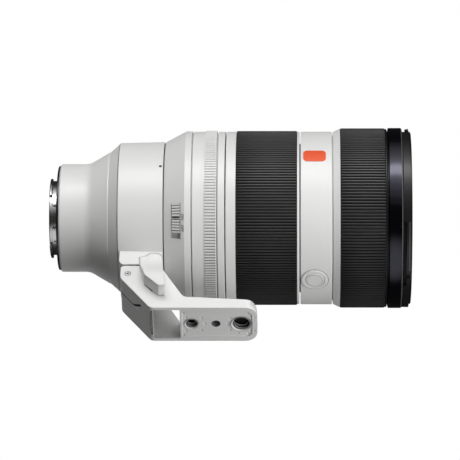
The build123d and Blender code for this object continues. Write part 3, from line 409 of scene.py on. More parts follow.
# The switch barrel's cone, in millimetres: its length, its radius at the rear, and how much it widens
CONE_LENGTH, CONE_REAR, CONE_RISE = 11.7, 43.6, 5.9

# The track that the click switch slides in: how far it reaches past the switch, and its depths below the cone
TRACK_MARGIN = 0.5 * MM
TRACK_DEPTHS = (0.5 * MM, 2.6 * MM)
SWITCH_FOOT = 0.15 * MM         # height of the shaded foot of each switch over the cone
FOCUS_LIP = 0.2 * MM            # how far the black front lip of the focus ring reaches under its grip


def make_finishes(looks):
    """The shared node groups, and all finishes of the lens."""
    grain_group()
    lathe_group()
    wear_group()
    paint_material("paint", looks.paint, looks.paint_roughness)
    paint_material("cast_paint", looks.paint, looks.paint_roughness, 0.000014, edge=0.00045)
    paint_material("soft_paint", looks.paint, looks.paint_roughness, 0.000014, edge=0.0016)
    paint_material("satin_black", looks.satin, 0.30)
    paint_material("gloss_black", looks.gloss, 0.17, 0.000001, sheen=(0.80, 0.79, 1.0))
    # A paler black, whose brightness paints the highlights on the front ring's bevel and on the hood flange's edge
    paint_material("painted_highlight_black", (0.085, 0.085, 0.088), 0.35)
    rubber_material("rubber", looks.rubber)
    metal_material("chrome", looks.chrome, 0.24)
    metal_material("steel", (0.62, 0.62, 0.63), 0.30)
    metal_material("gilt", (0.95, 0.66, 0.26), 0.22)
    metal_material("anodised", (0.028, 0.028, 0.030), 0.42)
    glass_material("coated_glass", (0.96, 0.99, 0.97), (0.55, 0.95, 0.75))
    plastic_material("black_plastic", (0.012, 0.012, 0.012), 0.5)
    plastic_material("switch_plastic", (0.86, 0.86, 0.85), 0.42)
    # A dark grey that paints shade at the switches' feet, round the buttons, in the anti-twist hole and round the
    # foot's screws
    plastic_material("painted_shade_grey", (0.16, 0.16, 0.16), 0.6)
    # A darker paint that paints the shade inside the foot's window
    plastic_material("shaded_paint", (0.60, 0.60, 0.595), 0.5)
    # A grey that paints shade on one side of the knurl's walls and on the buttons' dished faces
    plastic_material("painted_groove_shade", (0.31, 0.31, 0.305), 0.6)
    # The own grey of the thread inserts, which also paints the shade in the click switch's track
    plastic_material("insert_grey_and_track_shade", (0.70, 0.70, 0.695), 0.5)
    # A near-black that paints shade in grooves, holes, sockets, the foot's seam and slot, and under the lever
    plastic_material("painted_shade_black", (0.004, 0.004, 0.004), 0.7)
    plastic_material("badge", looks.badge, 0.36, 0.000003, coat=0.1)
    # The ink of the print, which also paints shade in the screws' crosses, round their heads and on the threads'
    # flanks
    plastic_material("ink_and_painted_shade", looks.ink_and_painted_shade, 0.6)
    board_material("board")


def lens_material(name):
    return bpy.data.materials["lens_" + name]


def second_finish(node, finish, chosen):
    """Another finish on the faces of a node that are chosen."""
    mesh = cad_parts[node].data
    mesh.materials.append(lens_material(finish))
    last = len(mesh.materials) - 1
    for polygon in mesh.polygons:
        if chosen(polygon):
            polygon.material_index = last


def turned_side(face):
    """How far a face looks round the barrel, towards growing angles."""
    across = Vector((0, -face.center.z, face.center.y)).normalized()
    return face.normal.dot(across)


def switch_cone():
    """The radius of the switch barrel's cone at a place along the axis."""
    start = low("switch_barrel").x

    def radius_at(x):
        share = min(1.0, max(0.0, (x - start) / (CONE_LENGTH * MM)))
        return (CONE_REAR + CONE_RISE * share) * MM
    return radius_at


def finish_details():
    """The front lip, and painted shade in the foot screws' sockets, at the switches' feet, in the click switch's
    track and on one side of the knurl's walls.
    """
    lip = high("focus_grip").x - FOCUS_LIP
    second_finish("focus_ring", "satin_black", lambda face: face.center.x > lip)
    # The walls of the foot screws' sockets get the near-black that paints their shade
    second_finish("foot_screws", "painted_shade_black", lambda face: abs(face.normal.y) < 0.5)
    cone = switch_cone()
    # The switches' faces near the cone get the dark grey that paints the shade at their feet
    for node in FINISHES["switch_plastic"]:
        second_finish(node, "painted_shade_grey", lambda face: (
            off_axis(face.center) < cone(face.center.x) + SWITCH_FOOT))
    rear, front = low("click_switch").x - TRACK_MARGIN, high("click_switch").x + TRACK_MARGIN
    least, most = TRACK_DEPTHS
    # The faces of the track below the cone get the grey that paints their shade
    second_finish("switch_barrel", "insert_grey_and_track_shade", lambda face: rear < face.center.x < front and (
        cone(face.center.x) - most < off_axis(face.center) < cone(face.center.x) - least))
    # The walls of the knurl that face one way round get the grey that paints their shade
    second_finish("aperture_ring", "painted_groove_shade", lambda face: turned_side(face) < -0.3)


class LENS_OT_finishes(bpy.types.Operator):
    """Makes the finishes and gives each CAD node its own"""
    bl_idname = "lens.finishes"
    bl_label = "Finishes"

    def execute(self, context):
        make_finishes(context.scene.lens_looks)
        for finish, nodes in FINISHES.items():
            for node in nodes:
                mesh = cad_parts[node].data
                mesh.materials.clear()
                mesh.materials.append(lens_material(finish))
        finish_details()
        return {"FINISHED"}


# Tools for meshes. Places on a barrel are an x, a radius and an angle round the axis

def add_mesh(name, points, faces, finish, body, smooth=True):
    """A mesh piece in one finish that rides on a body of the frame."""
    mesh = bpy.data.meshes.new(name)
    mesh.from_pydata(points, [], faces)
    mesh.validate()
    mesh.polygons.foreach_set("use_smooth", [smooth] * len(mesh.polygons))
    mesh.materials.append(lens_material(finish))
    piece = bpy.data.objects.new(name, mesh)
    bpy.context.scene.collection.objects.link(piece)
    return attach(piece, body)


def quad(name, corners, finish, body):
    """A flat piece with four corners, in millimetres."""
    return add_mesh(name, [corner * MM for corner in corners], [(0, 1, 2, 3)], finish, body, smooth=False)


def crisp(piece, angle=28):
    """Keeps the edges that are sharper than an angle crisp, and the rest smooth."""
    shape = bmesh.new()
    shape.from_mesh(piece.data)
    bmesh.ops.recalc_face_normals(shape, faces=shape.faces)
    shape.to_mesh(piece.data)
    shape.free()
    piece.data.set_sharp_from_angle(angle=math.radians(angle))
    return piece


def on_barrel(x, radius, angle):
    """A point at a radius and an angle round the optical axis."""
    return Vector((x, radius * math.cos(angle), radius * math.sin(angle)))


def ring_faces(rings, steps):
    """Quads between rings of points that each go once round."""
    faces = []
    for ring in range(rings - 1):
        for step in range(steps):
            after = (step + 1) % steps
            first, second = ring * steps, (ring + 1) * steps
            faces.append((first + step, second + step, second + after, first + after))
    return faces


def sweep(points, faces, outline, first=0.0, turn=TURN, steps=240):
    """Adds a closed outline of (x, radius) in millimetres, swept round the axis, to a mesh in the making."""
    whole = turn >= TURN
    rows = steps if whole else steps + 1
    start = len(points)
    for row in range(rows):
        angle = first + turn * row / steps
        points.extend(on_barrel(x * MM, radius * MM, angle) for x, radius in outline)
    count = len(outline)
    for row in range(steps):
        here, there = start + row * count, start + (row + 1) % rows * count
        for index in range(count):
            after = (index + 1) % count
            faces.append((here + index, here + after, there + after, there + index))
    if not whole:
        faces.append(tuple(range(start, start + count)))
        faces.append(tuple(reversed(range(start + steps * count, start + steps * count + count))))


def swept_piece(name, outline, finish, arcs=((0.0, TURN),), steps=240, sharp=28):
    """A piece of the barrel with one outline, swept over arcs that each have a start and a turn."""
    points, faces = [], []
    for first, turn in arcs:
        sweep(points, faces, outline, first, turn, steps)
    return crisp(add_mesh(name, points, faces, finish, "barrel"), sharp)


def circle(radius, steps=24):
    return [(radius * math.cos(TURN * step / steps), radius * math.sin(TURN * step / steps)) for step in range(steps)]


def rectangle(along, around):
    """Corners of a rectangle, from its half length along the barrel and its half width round it."""
    return (-along, -around), (along, -around), (along, around), (-along, around)


def patch(points, faces, x, radius, angle, outline):
    """Adds a small flat shape, given by (along, around) corners in millimetres, on a barrel."""
    first = len(points)
    points.extend(on_barrel(x + along * MM, radius, angle + around * MM / radius) for along, around in outline)
    faces.append(tuple(range(first, first + len(outline))))


def annulus(points, faces, spot_at, inner, outer, steps=64):
    """Adds a flat ring, whose points come from (along, around) in millimetres."""
    first = len(points)
    for step in range(steps):
        angle = TURN * step / steps
        for radius in (inner, outer):
            points.append(spot_at(radius * math.cos(angle), radius * math.sin(angle)))
        here, there = first + step * 2, first + (step + 1) % steps * 2
        faces.append((here, here + 1, there + 1, there))


# One rib of a grip: how far round its pitch each point lies, and how deep below the crest
RIB_SHAPE = ((0.00, 1.00), (0.08, 0.80), (0.17, 0.25), (0.25, 0.06), (0.37, 0.0),
             (0.63, 0.0), (0.75, 0.06), (0.83, 0.25), (0.92, 0.80))

# The end of a grip, from its rim up to its crest: shares of the lip along and down, and of the ribs' depth
LIP_SHAPE = ((0.0, 1.6, 0.3), (0.3, 0.6, 0.8), (1.0, 0.0, 1.0))

# New sleeve, the node it stands for, the ring it sits on, and the lip at its ends
GRIPS = (("zoom_grip_ribs", "zoom_grip", "zoom_ring", 0.5 * MM),
         ("focus_grip_ribs", "focus_grip", "focus_ring", 0.6 * MM))


def ribbed_sleeve(name, node, body, lip, count, groove):
    """A rubber sleeve with rounded ribs along it, in the place of a plainer one."""
    crest = radius_of(node)
    inner = min(off_axis(vertex.co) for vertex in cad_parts[node].data.vertices)
    start, end = low(node).x, high(node).x
    stations = [(start, inner, 0)]
    stations += [(start + lip * along, crest - lip * down, share) for along, down, share in LIP_SHAPE]
    stations += [(end - lip * along, crest - lip * down, share) for along, down, share in reversed(LIP_SHAPE)]
    stations += [(end, inner, 0)]
    points = []
    for x, radius, share in stations:
        for rib in range(count):
            for turn, depth in RIB_SHAPE:
                points.append(on_barrel(x, radius - groove * depth * share, TURN * (rib + turn) / count))
    faces = ring_faces(len(stations), count * len(RIB_SHAPE))
    piece = add_mesh(name, points, faces, "rubber", body)
    # The faces deep in the grooves get a near-black that paints their shade
    piece.data.materials.append(lens_material("painted_shade_black"))
    for polygon in piece.data.polygons:
        if off_axis(polygon.center) < crest - groove * 0.5:
            polygon.material_index = 1
    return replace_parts(piece, node)


class LENS_OT_grips(bpy.types.Operator):
    """Gives the zoom grip and the focus grip their rounded ribs"""
    bl_idname = "lens.grips"
    bl_label = "Rubber grips"

    def execute(self, context):
        looks = context.scene.lens_looks
        for name, node, body, lip in GRIPS:
            ribbed_sleeve(name, node, body, lip, looks.rib_count, looks.rib_depth)
        return {"FINISHED"}


# One turn of a thread: shares of its pitch along the hole and inwards
THREAD_SHAPE = ((0.02, 0), (0.36, 0.54), (0.64, 0.54), (0.98, 0))

# The filter thread, in millimetres: how far inside the front rim it starts, its radius, pitch and length
FILTER_THREAD = (0.4, 47.45, 1.0, 3.9)

# The foot's threads, in millimetres: where each is along the lens, its radius and its pitch
FOOT_THREADS = (("quarter_inch_thread", 77.1, 3.16, 1.27), ("three_eighth_inch_thread", 104.7, 4.74, 1.588))
FOOT_THREAD_START, FOOT_THREAD_LENGTH = 0.6 * MM, 4.2 * MM


def inner_thread(name, mouth, into, radius, pitch, length, finish, body, steps=72, flanks=None):
    """A screw thread on the wall of a hole. It fades out at both ends."""
    side = into.orthogonal().normalized()
    other = into.cross(side)
    turns = length / pitch - 1
    total = int(turns * steps)
    row_size = len(THREAD_SHAPE)
    points, faces = [], []
    for step in range(total + 1):
        angle = TURN * step / steps
        fade = min(1.0, step / (steps / 2), (total - step) / (steps / 2))
        spot = side * math.cos(angle) + other * math.sin(angle)
        along = pitch * step / steps
        for share, depth in THREAD_SHAPE:
            points.append(mouth + into * (along + pitch * share) + spot * (radius - pitch * depth * fade))
    for step in range(total):
        for row in range(row_size - 1):
            first, second = step * row_size + row, (step + 1) * row_size + row
            faces.append((first, first + 1, second + 1, second))
    thread = add_mesh(name, points, faces, finish, body)
    # The flanks get the second finish, which paints their shade
    if flanks:
        thread.data.materials.append(lens_material(flanks))
        for polygon in thread.data.polygons:
            polygon.material_index = 0 if polygon.index % (row_size - 1) == 1 else 1
    return thread


class LENS_OT_threads(bpy.types.Operator):
    """Adds the turns of the filter thread and of the two tripod threads"""
    bl_idname = "lens.threads"
    bl_label = "Threads"

    def execute(self, context):
        inset, radius, pitch, length = (size * MM for size in FILTER_THREAD)
        inner_thread("filter_thread_turns", Vector((high("front_barrel").x - inset, 0, 0)), -AXIS_X, radius, pitch,
                     length, "satin_black", "barrel", 180)
        mouth = low("foot").z + FOOT_THREAD_START
        # The crests keep the inserts' grey and the flanks get the ink, which paints their shade
        for name, x, radius, pitch in FOOT_THREADS:
            inner_thread(name, Vector((x * MM, 0, mouth)), Vector((0, 0, 1)), radius * MM, pitch * MM,
                         FOOT_THREAD_LENGTH, "insert_grey_and_track_shade", "foot", flanks="ink_and_painted_shade")
        return {"FINISHED"}


PRINT_LIFT = 0.04 * MM          # height of printed marks over the surface
SHELL_RADIUS = 49.3             # of the rings and the barrel from the aperture ring to the focus ring

# The scales: ring, name of its figures, the figures, their place from the ring's rear edge, and their span
SCALES = (("aperture_ring", "aperture_mark", ("2", "2.8", "4", "5.6", "8", "11", "16", "22"), 3.6 * MM, 60),
          ("zoom_ring", "zoom_mark", ("50", "70", "85", "100", "135", "150"), 2.9 * MM, 66))

# The line on the index ring: its distance from the ring's edges, and its width
INDEX_MARGIN, INDEX_WIDTH = 0.5 * MM, 0.6 * MM

# The words beside the click switch, with their places round the barrel in degrees
SWITCH_WORDS = (("click_on", "ON", 224.4), ("click_off", "OFF", 231.8))
SWITCH_WORDS_X, SWITCH_WORDS_SIZE = 71.5 * MM, 2.3 * MM

# The line on the click switch: place in degrees, width, distance from its ends, and height over the cone
POINTER_PLACE, POINTER_WIDTH, POINTER_MARGIN, POINTER_LEVEL = 224.7, 0.7 * MM, 0.4 * MM, 0.5 * MM

# The collar's index dot: its distance from the front edge, radius of the collar, place in degrees, and size
DOT_INSET, DOT_LEVEL, DOT_PLACE, DOT_RADIUS = 1.6 * MM, 43.42 * MM, 182.8, 0.85

# The focus-hold buttons, and the rings that outline them and their dished faces: inner radius, outer
# radius, and distance from the axis, in millimetres
BUTTONS = (("hold_button_bottom", DOWN), ("hold_button_top", UP), ("hold_button_side", FAR))
BUTTON_OUTLINE = (7.63, 7.95, 49.33)
BUTTON_DISH = (4.3, 4.55, 49.78)


def shell_radius(_place):
    return SHELL_RADIUS * MM


def lettering(name, words, x, angle, size, radius_at, body, finish="ink_and_painted_shade"):
    """Plain printed characters laid round a barrel, with their tops towards the front."""
    curve = bpy.data.curves.new(name, "FONT")
    curve.body = words
    curve.size = size
    curve.align_x = "CENTER"
    curve.align_y = "CENTER"
    draft = bpy.data.objects.new(name + "_draft", curve)
    bpy.context.scene.collection.objects.link(draft)
    bpy.context.view_layer.update()
    flat = draft.to_mesh()
    points = []
    for vertex in flat.vertices:
        place = x + vertex.co.y
        radius = radius_at(place)
        points.append(on_barrel(place, radius + PRINT_LIFT, angle + vertex.co.x / radius))
    faces = [tuple(polygon.vertices) for polygon in flat.polygons]
    draft.to_mesh_clear()
    bpy.data.objects.remove(draft)
    bpy.data.curves.remove(curve)
    return add_mesh(name, points, faces, finish, body, smooth=False)


def stripe(name, x_start, x_end, angle, width, radius_at, body, finish="ink_and_painted_shade", steps=6):
    """A printed line along the barrel."""
    points, faces = [], []
    for step in range(steps + 1):
        x = x_start + (x_end - x_start) * step / steps
        radius = radius_at(x)
        for side in (-0.5, 0.5):
            points.append(on_barrel(x, radius + PRINT_LIFT, angle + side * width / radius))
        if step:
            first = step * 2 - 2
            faces.append((first, first + 1, first + 3, first + 2))
    return add_mesh(name, points, faces, finish, body, smooth=False)


def button_rings():
    """The fine shadow lines round the focus-hold buttons and on their dished faces."""
    points, faces = [], []
    for name, angle in BUTTONS:
        x = (low(name).x + high(name).x) / 2
        out = Vector((0, math.cos(angle), math.sin(angle)))
        side = Vector((0, -math.sin(angle), math.cos(angle)))

        def on_shell(along, around):
            return on_barrel(x + along * MM, BUTTON_OUTLINE[2] * MM, angle + around / SHELL_RADIUS)

        def on_face(along, around):
            return AXIS_X * (x + along * MM) + side * (around * MM) + out * BUTTON_DISH[2] * MM
        annulus(points, faces, on_shell, *BUTTON_OUTLINE[:2])
        dish_points, dish_faces = [], []
        annulus(dish_points, dish_faces, on_face, *BUTTON_DISH[:2])
        add_mesh(name + "_dish", dish_points, dish_faces, "painted_groove_shade", name, smooth=False)
    add_mesh("button_outlines", points, faces, "painted_shade_grey", "barrel", smooth=False)


class LENS_OT_marks(bpy.types.Operator):
    """Prints the plain scales, the switch marks and the index dot, and outlines the focus-hold buttons"""
    bl_idname = "lens.marks"
    bl_label = "Printed marks"

    def execute(self, context):
        figure_size = context.scene.lens_looks.figure_size
        for ring, name, figures, inset, span in SCALES:
            x = low(ring).x + inset
            for index, words in enumerate(figures):
                angle = UP - math.radians(span) * index / (len(figures) - 1)
                lettering(f"{name}_{index}", words, x, angle, figure_size, shell_radius, ring)
        stripe("index_line", low("index_ring").x + INDEX_MARGIN, high("index_ring").x - INDEX_MARGIN, UP,
               INDEX_WIDTH, shell_radius, "barrel")
        cone = switch_cone()
        for name, words, place in SWITCH_WORDS:
            lettering(name, words, SWITCH_WORDS_X, math.radians(place), SWITCH_WORDS_SIZE, cone, "barrel")
        button_rings()
        points, faces = [], []
        patch(points, faces, high("tripod_collar").x - DOT_INSET, DOT_LEVEL, math.radians(DOT_PLACE),
              circle(DOT_RADIUS))
        add_mesh("index_dot", points, faces, "ink_and_painted_shade", "tripod_collar", smooth=False)
        stripe("click_pointer", low("click_switch").x + POINTER_MARGIN, high("click_switch").x - POINTER_MARGIN,
               math.radians(POINTER_PLACE), POINTER_WIDTH, lambda x: cone(x) + POINTER_LEVEL, "click_switch")
        return {"FINISHED"}


# The bayonet, in millimetres: radii of its tube, bore and lugs, where the lugs end towards the flange, and
# the start, end and depth of the fine groove round the tube
MOUNT_TUBE, MOUNT_BORE, MOUNT_LUG = 21.2, 19.0, 23.0
LUG_FRONT = -3.3
MOUNT_GROOVE = (-3.35, -3.0, 0.14)

# Places round the mount, in degrees: the middles of the three lugs, the screws of the tube, and a small pin
MOUNT_LUGS = (169.4, 49.4, 289.4)
LUG_TURN = 41
MOUNT_SCREWS = (204.5, 241.0, 20.0, 100.0)
MOUNT_PIN = 263.5

# A screw's head, in millimetres: its (radius, height) over the tube from foot to top, the radius of the dark
# ring round it that paints its shadow, and half the length and width of one bar of its cross, whose dark paints the
# shade in the slot. The pin has half sizes too
SCREW_HEAD = ((1.15, -0.1), (1.15, 0.26), (1.1, 0.34), (1.0, 0.38))
SCREW_SHADOW = 1.35
SCREW_CROSS = (0.75, 0.15)
PIN_SIZE = (0.75, 0.4)
SHADOW_LIFT, CROSS_LIFT = 0.02, 0.40        # height of the dark rings and of the crosses over the tube


def bayonet_mesh():
    """The stepped tube with its groove, the flange, and the bevelled lugs."""
    rear, front = low("mount_flange").x / MM, high("mount_flange").x / MM
    flange = radius_of("mount_flange") / MM
    tube, bore, lug = MOUNT_TUBE, MOUNT_BORE, MOUNT_LUG
    start, end, depth = MOUNT_GROOVE
    points, faces = [], []
    sweep(points, faces, [
        (rear, bore + 0.5), (rear, tube - 0.45), (rear + 0.12, tube - 0.12), (rear + 0.45, tube),
        (start, tube), (start + 0.1, tube - depth), (end - 0.1, tube - depth), (end, tube),
        (-0.35, tube), (-0.25, tube - 0.2), (0.0, tube - 0.2),
        (0.0, flange - 0.3), (0.12, flange - 0.1), (0.3, flange), (front, flange), (front, bore),
        (rear + 0.5, bore)])
    for middle in MOUNT_LUGS:
        sweep(points, faces, [
            (rear + 0.05, tube - 0.6), (rear + 0.05, lug - 0.45), (rear + 0.2, lug - 0.15), (rear + 0.45, lug),
            (LUG_FRONT - 0.35, lug), (LUG_FRONT - 0.1, lug - 0.15), (LUG_FRONT, lug - 0.4),
            (LUG_FRONT, tube - 0.6)],
            first=math.radians(middle - LUG_TURN / 2), turn=math.radians(LUG_TURN), steps=36)
    return crisp(add_mesh("bayonet", points, faces, "chrome", "barrel"))


def screw_head(points, faces, x, barrel, angle, profile, steps=24):
    """Adds a low round head on a barrel, by (radius, height) steps in millimetres from its foot to its top."""
    first = len(points)
    for radius, height in profile:
        level = barrel + height
        points.extend(on_barrel(x + along * MM, level * MM, angle + around / level)
                      for along, around in circle(radius, steps))
    faces.extend(tuple(first + index for index in face) for face in ring_faces(len(profile), steps))
    faces.append(tuple(range(len(points) - steps, len(points))))


class LENS_OT_mount(bpy.types.Operator):
    """Makes the chrome bayonet with its stepped tube, its bevelled lugs and its cross-head screws, and dark patches
    that paint the shade in the screws' crosses and round their heads
    """
    bl_idname = "lens.mount"
    bl_label = "Bayonet"

    def execute(self, context):
        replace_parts(bayonet_mesh(), "mount_flange")
        heads, head_faces = [], []
        marks, mark_faces = [], []
        x = (low("mount_screws").x + high("mount_screws").x) / 2
        shadow_level, cross_level = (MOUNT_TUBE + SHADOW_LIFT) * MM, (MOUNT_TUBE + CROSS_LIFT) * MM
        for place in MOUNT_SCREWS:
            angle = math.radians(place)
            patch(marks, mark_faces, x, shadow_level, angle, circle(SCREW_SHADOW))
            screw_head(heads, head_faces, x, MOUNT_TUBE, angle, SCREW_HEAD)
            for bar in (SCREW_CROSS, SCREW_CROSS[::-1]):
                patch(marks, mark_faces, x, cross_level, angle, rectangle(*bar))
        patch(marks, mark_faces, x, shadow_level, math.radians(MOUNT_PIN), rectangle(*PIN_SIZE))
        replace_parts(crisp(add_mesh("mount_screw_heads", heads, head_faces, "chrome", "barrel")), "mount_screws")
        # Dark patches in the ink: the crosses and the rings round the heads paint shade, and a dark patch lies at the
        # pin
        add_mesh("mount_screw_crosses", marks, mark_faces, "ink_and_painted_shade", "barrel", smooth=False)
        return {"FINISHED"}


# Where each tab of the hood bayonet ends, how far round it reaches, and how far the flange edge after it reaches, in
# degrees. That edge's paler black paints a highlight
HOOD_TABS = (227.6, 347.6, 107.6)
HOOD_TAB_TURN = 74
HOOD_EDGE_TURN = 33

# The hood bayonet, in millimetres: radii of its wall and its tabs, length of the tabs, and the groove, a near-black
# ring that paints the shade in it
HOOD_WALL, HOOD_TAB, HOOD_LENGTH = 48.6, 50.85, 3.9
HOOD_GROOVE_START, HOOD_GROOVE_END, HOOD_GROOVE_RADII = 0.05, 2.05, (48.8, 49.2)


class LENS_OT_front(bpy.types.Operator):
    """Makes the polished ring with its bevel, whose paler black paints a highlight line, and the tabs, the groove, a
    near-black ring that paints shade, and the flange edge of the hood bayonet, whose paler black paints a highlight
    """
    bl_idname = "lens.front"
    bl_label = "Front ring"

    def execute(self, context):
        rear, front = low("front_ring").x / MM, high("front_ring").x / MM
        rim = radius_of("front_ring") / MM
        ring = swept_piece("polished_ring", [
            (rear, rim - 1.9), (rear, rim - 0.5), (rear + 0.1, rim - 0.22), (rear + 0.28, rim - 0.06),
            (rear + 0.55, rim), (front - 0.75, rim), (front - 0.55, rim - 0.06), (front - 0.12, rim - 0.3),
            (front, rim - 0.5), (front, rim - 1.9)], "gloss_black", steps=360, sharp=40)
        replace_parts(ring, "front_ring")
        # The bevel's paler black paints the highlight line along the ring's front edge
        swept_piece("ring_bevel", [
            (front - 0.66, rim - 0.4), (front - 0.66, rim + 0.01), (front - 0.5, rim - 0.02),
            (front - 0.16, rim - 0.24), (front - 0.16, rim - 0.4)], "painted_highlight_black", steps=360, sharp=40)
        tab_turn, edge_turn = math.radians(HOOD_TAB_TURN), math.radians(HOOD_EDGE_TURN)
        end = front + HOOD_LENGTH
        swept_piece("hood_tabs", [
            (front + 0.06, HOOD_WALL), (front + 0.06, HOOD_TAB - 0.25), (front + 0.25, HOOD_TAB),
            (end - 0.2, HOOD_TAB), (end, HOOD_TAB - 0.2), (end, HOOD_WALL)], "satin_black",
            arcs=[(math.radians(last) - tab_turn, tab_turn) for last in HOOD_TABS], steps=60)
        start, stop = front + HOOD_GROOVE_START, front + HOOD_GROOVE_END
        inner, outer = HOOD_GROOVE_RADII
        # A near-black ring that paints the shade in the groove between the tabs
        swept_piece("hood_groove", [(start, inner), (start, outer), (stop, outer), (stop, inner)], "painted_shade_black")
        # The flange edge's paler black paints its highlight
        swept_piece("hood_flange_edge", [
            (end - 0.55, HOOD_TAB - 0.25), (end - 0.5, HOOD_TAB + 0.1), (end - 0.15, HOOD_TAB + 0.1),
            (end + 0.05, HOOD_TAB - 0.15)], "painted_highlight_black",
            arcs=[(math.radians(last), edge_turn) for last in HOOD_TABS], steps=40)
        return {"FINISHED"}


# Small dimples in the underside of the foot, where a tripod plate's pins find their hold, and their radius
FOOT_DIMPLES = ((108.3, -7.9), (111.9, -5.3), (111.9, 5.3), (108.3, 7.9), (102.9, 7.4), (98.4, -4.6), (98.4, 5.0),
                (97.2, 0.3), (82.6, -4.3), (84.4, 0.1), (82.6, 5.4), (74.0, -4.8), (72.6, -8.4), (73.9, 6.2),
                (72.4, 9.0))
DIMPLE_RADIUS = 0.75

# The shallow field in the underside: its ends, half width, corner radius and depth
FOOT_FIELD = (72.0, 110.7, 9.9, 3.5, 0.5)
CUT_START = 1.0                 # how far below the foot its cutters begin

# The foot's sloping rear face: x and z of its top, and how far it goes forward for each millimetre down
FOOT_REAR = (37.1, -60.5, 0.752)

# The seam down the rear face, whose faces get painted shade: its place across, half width, greatest depth and length.
# A dark quad that paints the shade of a slot runs on from it: how far down it starts, how far across it runs, and its
# height
SEAM_SIDE, SEAM_HALF, SEAM_DEPTH, SEAM_LENGTH = -2.0, 0.75, 6.0, 10.2
SLOT_DROP, SLOT_RUN, SLOT_HEIGHT = 9.4, 5.6, 1.5

# The hollow behind the window: its levels, its front end, its half width and the wall at the rear
WINDOW_LEVELS, WINDOW_FRONT, WINDOW_HALF, WINDOW_WALL = (-83.2, -56.0), 71.5, 12.2, 1.0

# The anti-twist hole: its place along the foot and its radius
TWIST_HOLE, TWIST_HOLE_RADIUS = 90.6, 2.65

# Corners of the chrome strip that paints the highlight of the window's rear edge, as (x, y), and of the dark quad
# that paints the shadow under the lever, as (x, z), with its side
WINDOW_EDGE = ((54.5, -10.6), (55.6, -11.2), (55.6, 8.8), (54.5, 8.2))
LEVER_SHADOW = ((50.3, -65.6), (50.9, -65.8), (55.6, -70.9), (54.9, -71.0))
LEVER_SHADOW_SIDE = -13.43

# The rings of painted shade round the foot's screws: place along the foot, height over its base, side, and two radii
SCREW_RING_X, SCREW_RING_HEIGHT, SCREW_RING_SIDE = 41.2, 26.2, 13.42
SCREW_RING_RADII = (1.55, 1.85)


def foot_cutter(name, shape):
    """A hidden solid that is cut out of the foot."""
    mesh = bpy.data.meshes.new(name)
    bmesh.ops.recalc_face_normals(shape, faces=shape.faces)
    shape.to_mesh(mesh)
    shape.free()
    cutter = bpy.data.objects.new(name, mesh)
    bpy.context.scene.collection.objects.link(cutter)
    cutter.hide_render = True
    cutter.display_type = "WIRE"
    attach(cutter, "foot")
    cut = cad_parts["foot"].modifiers.new(name, "BOOLEAN")
    cut.operation = "DIFFERENCE"
    cut.solver = "EXACT"
    cut.object = cutter


def field_outline(start, end, half, corner, steps=6):
    """The corners of the shallow field, rounded at its front end."""
    outline = [(start, -half)]
    for middle, turn in (((end - corner, corner - half), -0.5), ((end - corner, half - corner), 0.0)):
        for step in range(steps + 1):
            angle = math.pi * (turn + 0.5 * step / steps)
            outline.append((middle[0] + corner * math.cos(angle), middle[1] + corner * math.sin(angle)))
    return outline + [(start, half)]


def cut_underside(base):
    """Cuts the shallow field and the dimples."""
    start, end, half, corner, depth = FOOT_FIELD
    shape = bmesh.new()
    rim = [shape.verts.new((x * MM, y * MM, base - CUT_START * MM))
           for x, y in field_outline(start, end, half, corner)]
    floor = shape.faces.new(rim)
    lifted = bmesh.ops.extrude_face_region(shape, geom=[floor])["geom"]
    bmesh.ops.translate(shape, vec=(0, 0, (CUT_START + depth) * MM),
                        verts=[item for item in lifted if isinstance(item, bmesh.types.BMVert)])
    foot_cutter("foot_field", shape)
    shape = bmesh.new()
    for x, y in FOOT_DIMPLES:
        level = base - 0.05 * MM + (depth * MM if x < end else 0)
        place = Matrix.Translation((x * MM, y * MM, level))
        bmesh.ops.create_uvsphere(shape, u_segments=16, v_segments=10, radius=DIMPLE_RADIUS * MM, matrix=place)
    foot_cutter("foot_dimples", shape)


def behind_rear_face(spot):
    """How far a place lies behind the foot's rear face, and how far down that face."""
    x, z, slope = FOOT_REAR
    drop = z * MM - spot.z
    return (spot.x - x * MM - slope * drop) / math.hypot(1, slope), drop


def in_rear_seam(face):
    """Whether a face of the foot lies in the seam of its rear face."""
    inside, drop = behind_rear_face(face.center)
    return (abs(face.center.y - SEAM_SIDE * MM) < SEAM_HALF * MM and 0.05 * MM < inside < SEAM_DEPTH * MM
            and -0.2 * MM < drop < SEAM_LENGTH * MM)


def in_window(face):
    """Whether a face of the foot lies inside the hollow behind its window."""
    spot = face.center
    inside, _drop = behind_rear_face(spot)
    lowest, highest = WINDOW_LEVELS
    return (lowest * MM < spot.z < highest * MM and inside > WINDOW_WALL * MM and spot.x < WINDOW_FRONT * MM
            and abs(spot.y) < WINDOW_HALF * MM)


def darken_hollows(base):
    """Painted shade in the seam, the anti-twist hole, the threaded holes and the window: darker finishes on their
    faces.
    """
    second_finish("foot", "painted_shade_black", in_rear_seam)
    second_finish("foot", "painted_shade_grey", lambda face: (
        math.hypot(face.center.x - TWIST_HOLE * MM, face.center.y) < TWIST_HOLE_RADIUS * MM
        and face.center.z > base + 0.5 * MM))
    second_finish("thread_inserts", "painted_shade_black", lambda face: face.center.z > base + 1.6 * MM)
    second_finish("foot", "shaded_paint", in_window)


def rear_slot():
    """A dark quad that paints the shade of the slot that runs on from the seam, across the rear face and just outside
    it.
    """
    x, z, slope = FOOT_REAR
    outwards = Vector((-1, 0, -slope)).normalized() * 0.06
    corners = []
    for across, deeper in ((0, 0), (SLOT_RUN, 0), (SLOT_RUN, SLOT_HEIGHT), (0, SLOT_HEIGHT)):
        drop = SLOT_DROP + across + deeper
        corners.append(Vector((x + slope * drop, SEAM_SIDE - across, z - drop)) + outwards)
    quad("foot_slot", corners, "painted_shade_black", "foot")


